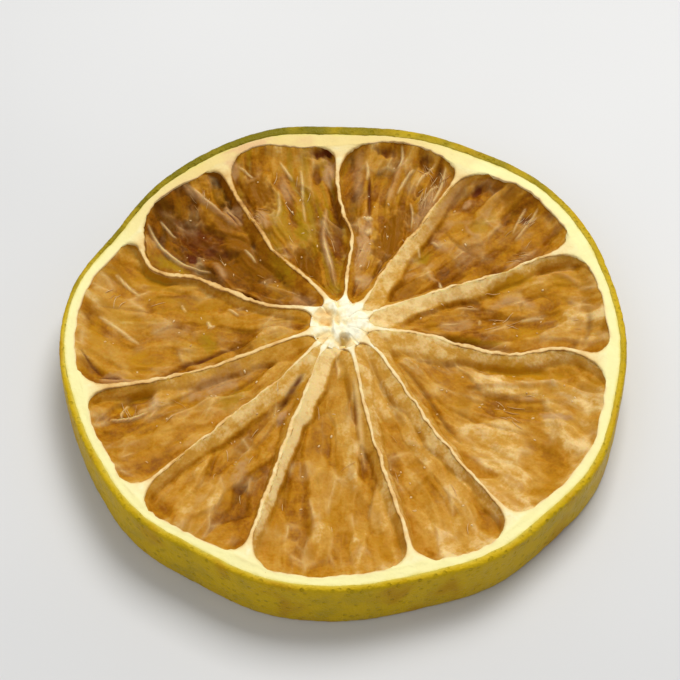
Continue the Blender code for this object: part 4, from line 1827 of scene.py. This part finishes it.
        # Painted sheen, partly pinkish tissue: the pinkish look is strewn only where the relief stands up.
        raised_sheen_spots = ease(noise(out * 2.6, side * 1.8, seed + 17), 0.0, 0.6) * ease(relief, -0.3, 0.3)
        seams = ease(noise(out * 4.0, side * 3.0, seed + 13), 0.4, 0.9)
        strewn = {
            # Painted highlight, partly pale sac wall: pale lines only along the raised seams between sacs.
            Tint.PALE: 0.4 * panes.seam * ridge + 0.18 * small.seam * ridge,
            Tint.FROST: 0.75 * pocket.frost * raised_sheen_spots,
            Tint.GLOW: 0.35 * ease(noise(x / 2.0, y / 3.0, seed + 18), 0.1, 0.6),
            Tint.HONEY: 0.35 * ease(self.honey.at(x, y, seed), 0.1, 0.6),
            Tint.GOLD: 0.65 * pocket.gold * ease(noise(out * 0.9, side * 2.2, seed + 19), -0.2, 0.4),
            # Painted shade: dark tissue strewn only along sunken seams, where the relief is low.
            Tint.DARK: 0.3 * seams * ease(-relief, -0.1, 0.4),
        }
        plain = 1 - np.max([looks[tint] for tint in (Tint.GLOW, Tint.HONEY, Tint.GOLD, Tint.DARK)], axis=0)
        open_share = (1 - drape.band) * plain
        masks = {tint.value: np.maximum(looks[tint], open_share * strewn[tint]) for tint in Tint}
        masks |= {"tone": tone, "outwards": reach * MM, "sideways": side * self.pane_width * MM}
        return place, masks

    def lay(self, index: int, reach: Array, bearing: Array) -> Array:
        """Points on the upper face of a pocket's pulp.

        Args:
            index: Which pocket.
            reach: Distances from the core, in millimetres.
            bearing: Bearings from the core, in radians.

        Returns:
            The points.
        """
        core = self.form.core_radius
        level = np.clip((reach - core) / (self.form.inner_reach(bearing) - core), 0.04, 0.95)
        low, high = self.sides(index, level)
        across = ((bearing - low + math.pi) % math.tau - math.pi) / (high - low)
        return self.surface(index, np.clip(across, 0.04, 0.96), level, Face.UPPER)[0]

    def make(self, index: int, material: bpy.types.Material) -> None:
        """Builds the pulp of one pocket, closed all round.

        Args:
            index: Which pocket.
            material: Its finish.
        """
        across = np.linspace(0, 1, self.across_steps + 1)[None, :]
        share = np.linspace(-0.015, 1.012, self.out_steps + 1)[:, None]
        shell = Shell()
        grids = []
        for face in Face:
            points, masks = self.surface(index, across, share, face)
            grids.append(shell.points(points, **masks))
        upper, under = grids
        shell.skin(upper)
        shell.skin(under)
        edges = [(grid[0, :-1], grid[:-1, -1], grid[-1, :0:-1], grid[:0:-1, 0]) for grid in grids]
        shell.skin(np.stack([np.concatenate(edge) for edge in edges]), wrap=True)
        shell.build(f"pulp_{index + 1:02d}", material)


@dataclass(frozen=True)
class Tuft:
    """A place where threads stand close together.

    Attributes:
        pocket: Which pocket they lie in.
        reach: How far their middle lies from the core, in millimetres.
        bearing: Its bearing from the core, in degrees.
        spread: How far they scatter, in millimetres.
        count: How many there are.
        turn: The way that they run, in degrees from straight out.
    """

    pocket: int
    reach: float
    bearing: float
    spread: float
    count: int
    turn: float


@dataclass
class Threads:
    """Thin dry threads of sac wall that lie on the pulp, and pale crumbs that are partly sac wall and partly
    painted glints.
    """

    pulp: Pulp
    loose_count: int = 45
    # Pale crumbs strewn at random: partly crumbs of sac wall, partly painted glints.
    glint_crumb_count: int = 120
    seed: int = 5
    steps: int = 9
    lengths: tuple[float, float] = (0.5, 1.8)
    thicknesses: tuple[float, float] = (0.02, 0.038)
    arch: float = 0.14
    glint_crumb_lengths: tuple[float, float] = (0.1, 0.3)
    glint_crumb_sizes: tuple[float, float] = (0.05, 0.11)
    bend: float = 0.18
    sway: float = 0.4
    tuft_sway: float = 0.35
    levels: tuple[float, float] = (0.15, 0.86)
    margins: tuple[float, float] = (0.12, 0.88)
    tufts: tuple[Tuft, ...] = (
        Tuft(1, 18.0, 63.0, 1.3, 14, 10),
        Tuft(1, 20.9, 66.0, 0.7, 6, 60),
        Tuft(0, 21.9, 34.0, 0.7, 9, 0),
        Tuft(0, 19.3, 26.0, 0.8, 7, -30),
        Tuft(2, 16.2, 121.0, 0.9, 9, 30),
        Tuft(1, 20.2, 61.0, 0.8, 8, 20),
        Tuft(3, 20.5, 131.0, 1.1, 6, -20),
        Tuft(4, 21.5, 172.0, 1.4, 5, 60),
        Tuft(5, 21.2, 205.5, 0.7, 7, 70),
        Tuft(9, 18.0, 331.0, 1.8, 8, 10),
        Tuft(10, 16.0, 6.0, 1.3, 6, 0),
    )

    def _thread(self, shell: Shell, draw: Draw, pocket: int, middle: Array, turn: float) -> None:
        """Lays one thread along the pulp.

        Args:
            shell: The shell to add to.
            draw: Where random numbers come from.
            pocket: Which pocket it lies in.
            middle: Its middle, across and behind the core's middle, in millimetres.
            turn: The way it runs, in radians from straight out.
        """
        length = draw.uniform(*self.lengths)
        run = np.linspace(-0.5, 0.5, self.steps) * length
        bend = draw.normal(0, self.bend) * (run / length) ** 2 * length
        heading = math.atan2(middle[1], middle[0]) + turn
        x = middle[0] + run * math.cos(heading) - bend * math.sin(heading)
        y = middle[1] + run * math.sin(heading) + bend * math.cos(heading)
        path = self.pulp.lay(pocket, np.hypot(x, y), np.arctan2(y, x))
        thick = draw.uniform(*self.thicknesses)
        rise = np.sin(np.linspace(0, math.pi, self.steps)) * draw.uniform(0.0, self.arch)
        path[:, 2] += rise + 0.3 * thick
        path[1:-1, 2] = (path[:-2, 2] + 2 * path[1:-1, 2] + path[2:, 2]) / 4
        taper = thick * (0.35 + 0.65 * np.sin(np.linspace(0.15, math.pi - 0.15, self.steps)))
        shell.tube(path, taper, amber=float(draw.uniform(0.1, 1.0)))

    def _glint_crumb(self, shell: Shell, draw: Draw, pocket: int, middle: Array) -> None:
        """Lays one short pale crumb on the pulp: partly a crumb of sac wall, partly a painted glint.

        Args:
            shell: The shell to add to.
            draw: Where random numbers come from.
            pocket: Which pocket it lies in.
            middle: Its middle, across and behind the core's middle, in millimetres.
        """
        run = np.array([-0.5, 0.0, 0.5]) * draw.uniform(*self.glint_crumb_lengths)
        turn = draw.uniform(0, math.tau)
        x, y = middle[0] + run * math.cos(turn), middle[1] + run * math.sin(turn)
        path = self.pulp.lay(pocket, np.hypot(x, y), np.arctan2(y, x))
        thick = draw.uniform(*self.glint_crumb_sizes) * np.array([0.6, 1.0, 0.6])
        shell.tube(path, thick, amber=float(draw.uniform(0, 0.6)))

    def _anywhere(self, draw: Draw, pocket: int) -> Array:
        """Draws a place in a pocket.

        Args:
            draw: Where random numbers come from.
            pocket: Which pocket.

        Returns:
            How far right of the core it lies and how far behind it, in millimetres.
        """
        level = draw.uniform(*self.levels) ** 0.8
        low, high = (float(side) for side in self.pulp.sides(pocket, np.array(level)))
        bearing = low + (high - low) * draw.uniform(*self.margins)
        core = self.pulp.form.core_radius
        reach = core + level * (float(self.pulp.form.inner_reach(np.array(bearing))) - core)
        return np.array([reach * math.cos(bearing), reach * math.sin(bearing)])

    def make(self, material: bpy.types.Material) -> None:
        """Builds all the threads and crumbs as one object. The crumbs partly stand for painted glints.

        Args:
            material: Their finish.
        """
        draw = np.random.default_rng(self.seed)
        shell = Shell()
        for _ in range(self.loose_count):
            pocket = int(draw.integers(0, len(POCKETS)))
            self._thread(shell, draw, pocket, self._anywhere(draw, pocket), draw.normal(0.0, self.sway))
        for _ in range(self.glint_crumb_count):
            pocket = int(draw.integers(0, len(POCKETS)))
            self._glint_crumb(shell, draw, pocket, self._anywhere(draw, pocket))
        for tuft in self.tufts:
            bearing = math.radians(tuft.bearing)
            middle = tuft.reach * np.array([math.cos(bearing), math.sin(bearing)])
            for _ in range(tuft.count):
                turn = math.radians(tuft.turn) + draw.normal(0, self.tuft_sway)
                self._thread(shell, draw, tuft.pocket, middle + draw.normal(0, tuft.spread / 2, 2), turn)
        shell.build("threads", material)


@dataclass(frozen=True)
class Lamp:
    """A soft square lamp that faces the slice.

    Attributes:
        name: Its name.
        place: Where it hangs, in metres.
        size: Its side, in metres.
        power: Its power, in watts.
        colour: Its colour.
    """

    name: str
    place: tuple[float, float, float]
    size: float
    power: float
    colour: tuple[float, float, float]

    def hang(self) -> None:
        """Hangs the lamp."""
        light = bpy.data.lights.new(self.name, "AREA")
        light.size = self.size
        light.energy = self.power
        light.color = self.colour
        lamp = bpy.data.objects.new(self.name, light)
        lamp.location = self.place
        lamp.rotation_euler = (-Vector(self.place)).to_track_quat("-Z", "Y").to_euler()
        bpy.context.scene.collection.objects.link(lamp)


@dataclass
class Studio:
    """The pale table, the soft lights and the camera."""

    form: SliceForm
    elevation: float = math.radians(55)
    distance: float = 186.0
    focal_pixels: float = 2030.0
    frame_pixels: float = 680.0
    aim_x: float = -0.383
    aim_y: float = 0.072
    sensor: float = 36.0
    table_size: float = 6.0
    window: Lamp = Lamp("window", (0.10, 0.23, 0.43), 0.26, 1.95, (1.0, 0.985, 0.96))
    fill: Lamp = Lamp("fill", (-0.22, -0.20, 0.38), 0.36, 0.35, (0.97, 0.985, 1.0))
    sky: Colour = (0.95, 0.97, 1.0, 1.0)
    sky_strength: float = 0.36

    def lay_table(self) -> None:
        """Lays the table under the slice."""
        bpy.ops.mesh.primitive_grid_add(x_subdivisions=8, y_subdivisions=8, size=self.table_size)
        table = bpy.context.active_object
        table.name = "pale_table"
        table.data.materials.append(TableFinish().make())

    def hang_lights(self) -> None:
        """Hangs the window light behind the slice and a weak fill, under a pale sky."""
        self.window.hang()
        self.fill.hang()
        world = bpy.data.worlds.new("pale_sky")
        world.use_nodes = True
        sky = world.node_tree.nodes["Background"]
        sky.inputs["Color"].default_value = self.sky
        sky.inputs["Strength"].default_value = self.sky_strength
        bpy.context.scene.world = world

    def set_camera(self) -> None:
        """Sets the camera at the angle of the photograph."""
        lens = bpy.data.cameras.new("camera")
        lens.sensor_width = self.sensor
        lens.lens = self.sensor * self.focal_pixels / self.frame_pixels
        lens.clip_start, lens.clip_end = 0.005, 20.0
        camera = bpy.data.objects.new("camera", lens)
        middle_x, middle_y = self.form.shift
        aim = Vector((self.aim_x + middle_x, self.aim_y + middle_y, self.form.rim_height))
        back = Vector((0.0, -math.cos(self.elevation), math.sin(self.elevation)))
        camera.location = (aim + back * self.distance) * MM
        camera.rotation_euler = (-back).to_track_quat("-Z", "Y").to_euler()
        bpy.context.scene.collection.objects.link(camera)
        bpy.context.scene.camera = camera

    def make(self) -> None:
        """Sets up all of it, with plain colour handling so that whites stay white."""
        self.set_camera()
        self.lay_table()
        self.hang_lights()
        bpy.context.scene.view_settings.view_transform = "Standard"


def main() -> None:
    """Builds the slice, piece by piece, and its studio."""
    logging.basicConfig(level=logging.INFO, format="%(name)s %(message)s")
    form = SliceForm()
    Studio(form).make()
    grains = Grains()
    Zest(form).make(ZestFinish().make(grains))
    Web(form).make(WebFinish().make(grains))
    pulp = Pulp(form)
    flesh = PulpFinish().make(grains)
    for index in range(len(POCKETS)):
        pulp.make(index, flesh)
    Threads(pulp).make(ThreadFinish().make(grains))


if __name__ == "__main__":
    main()
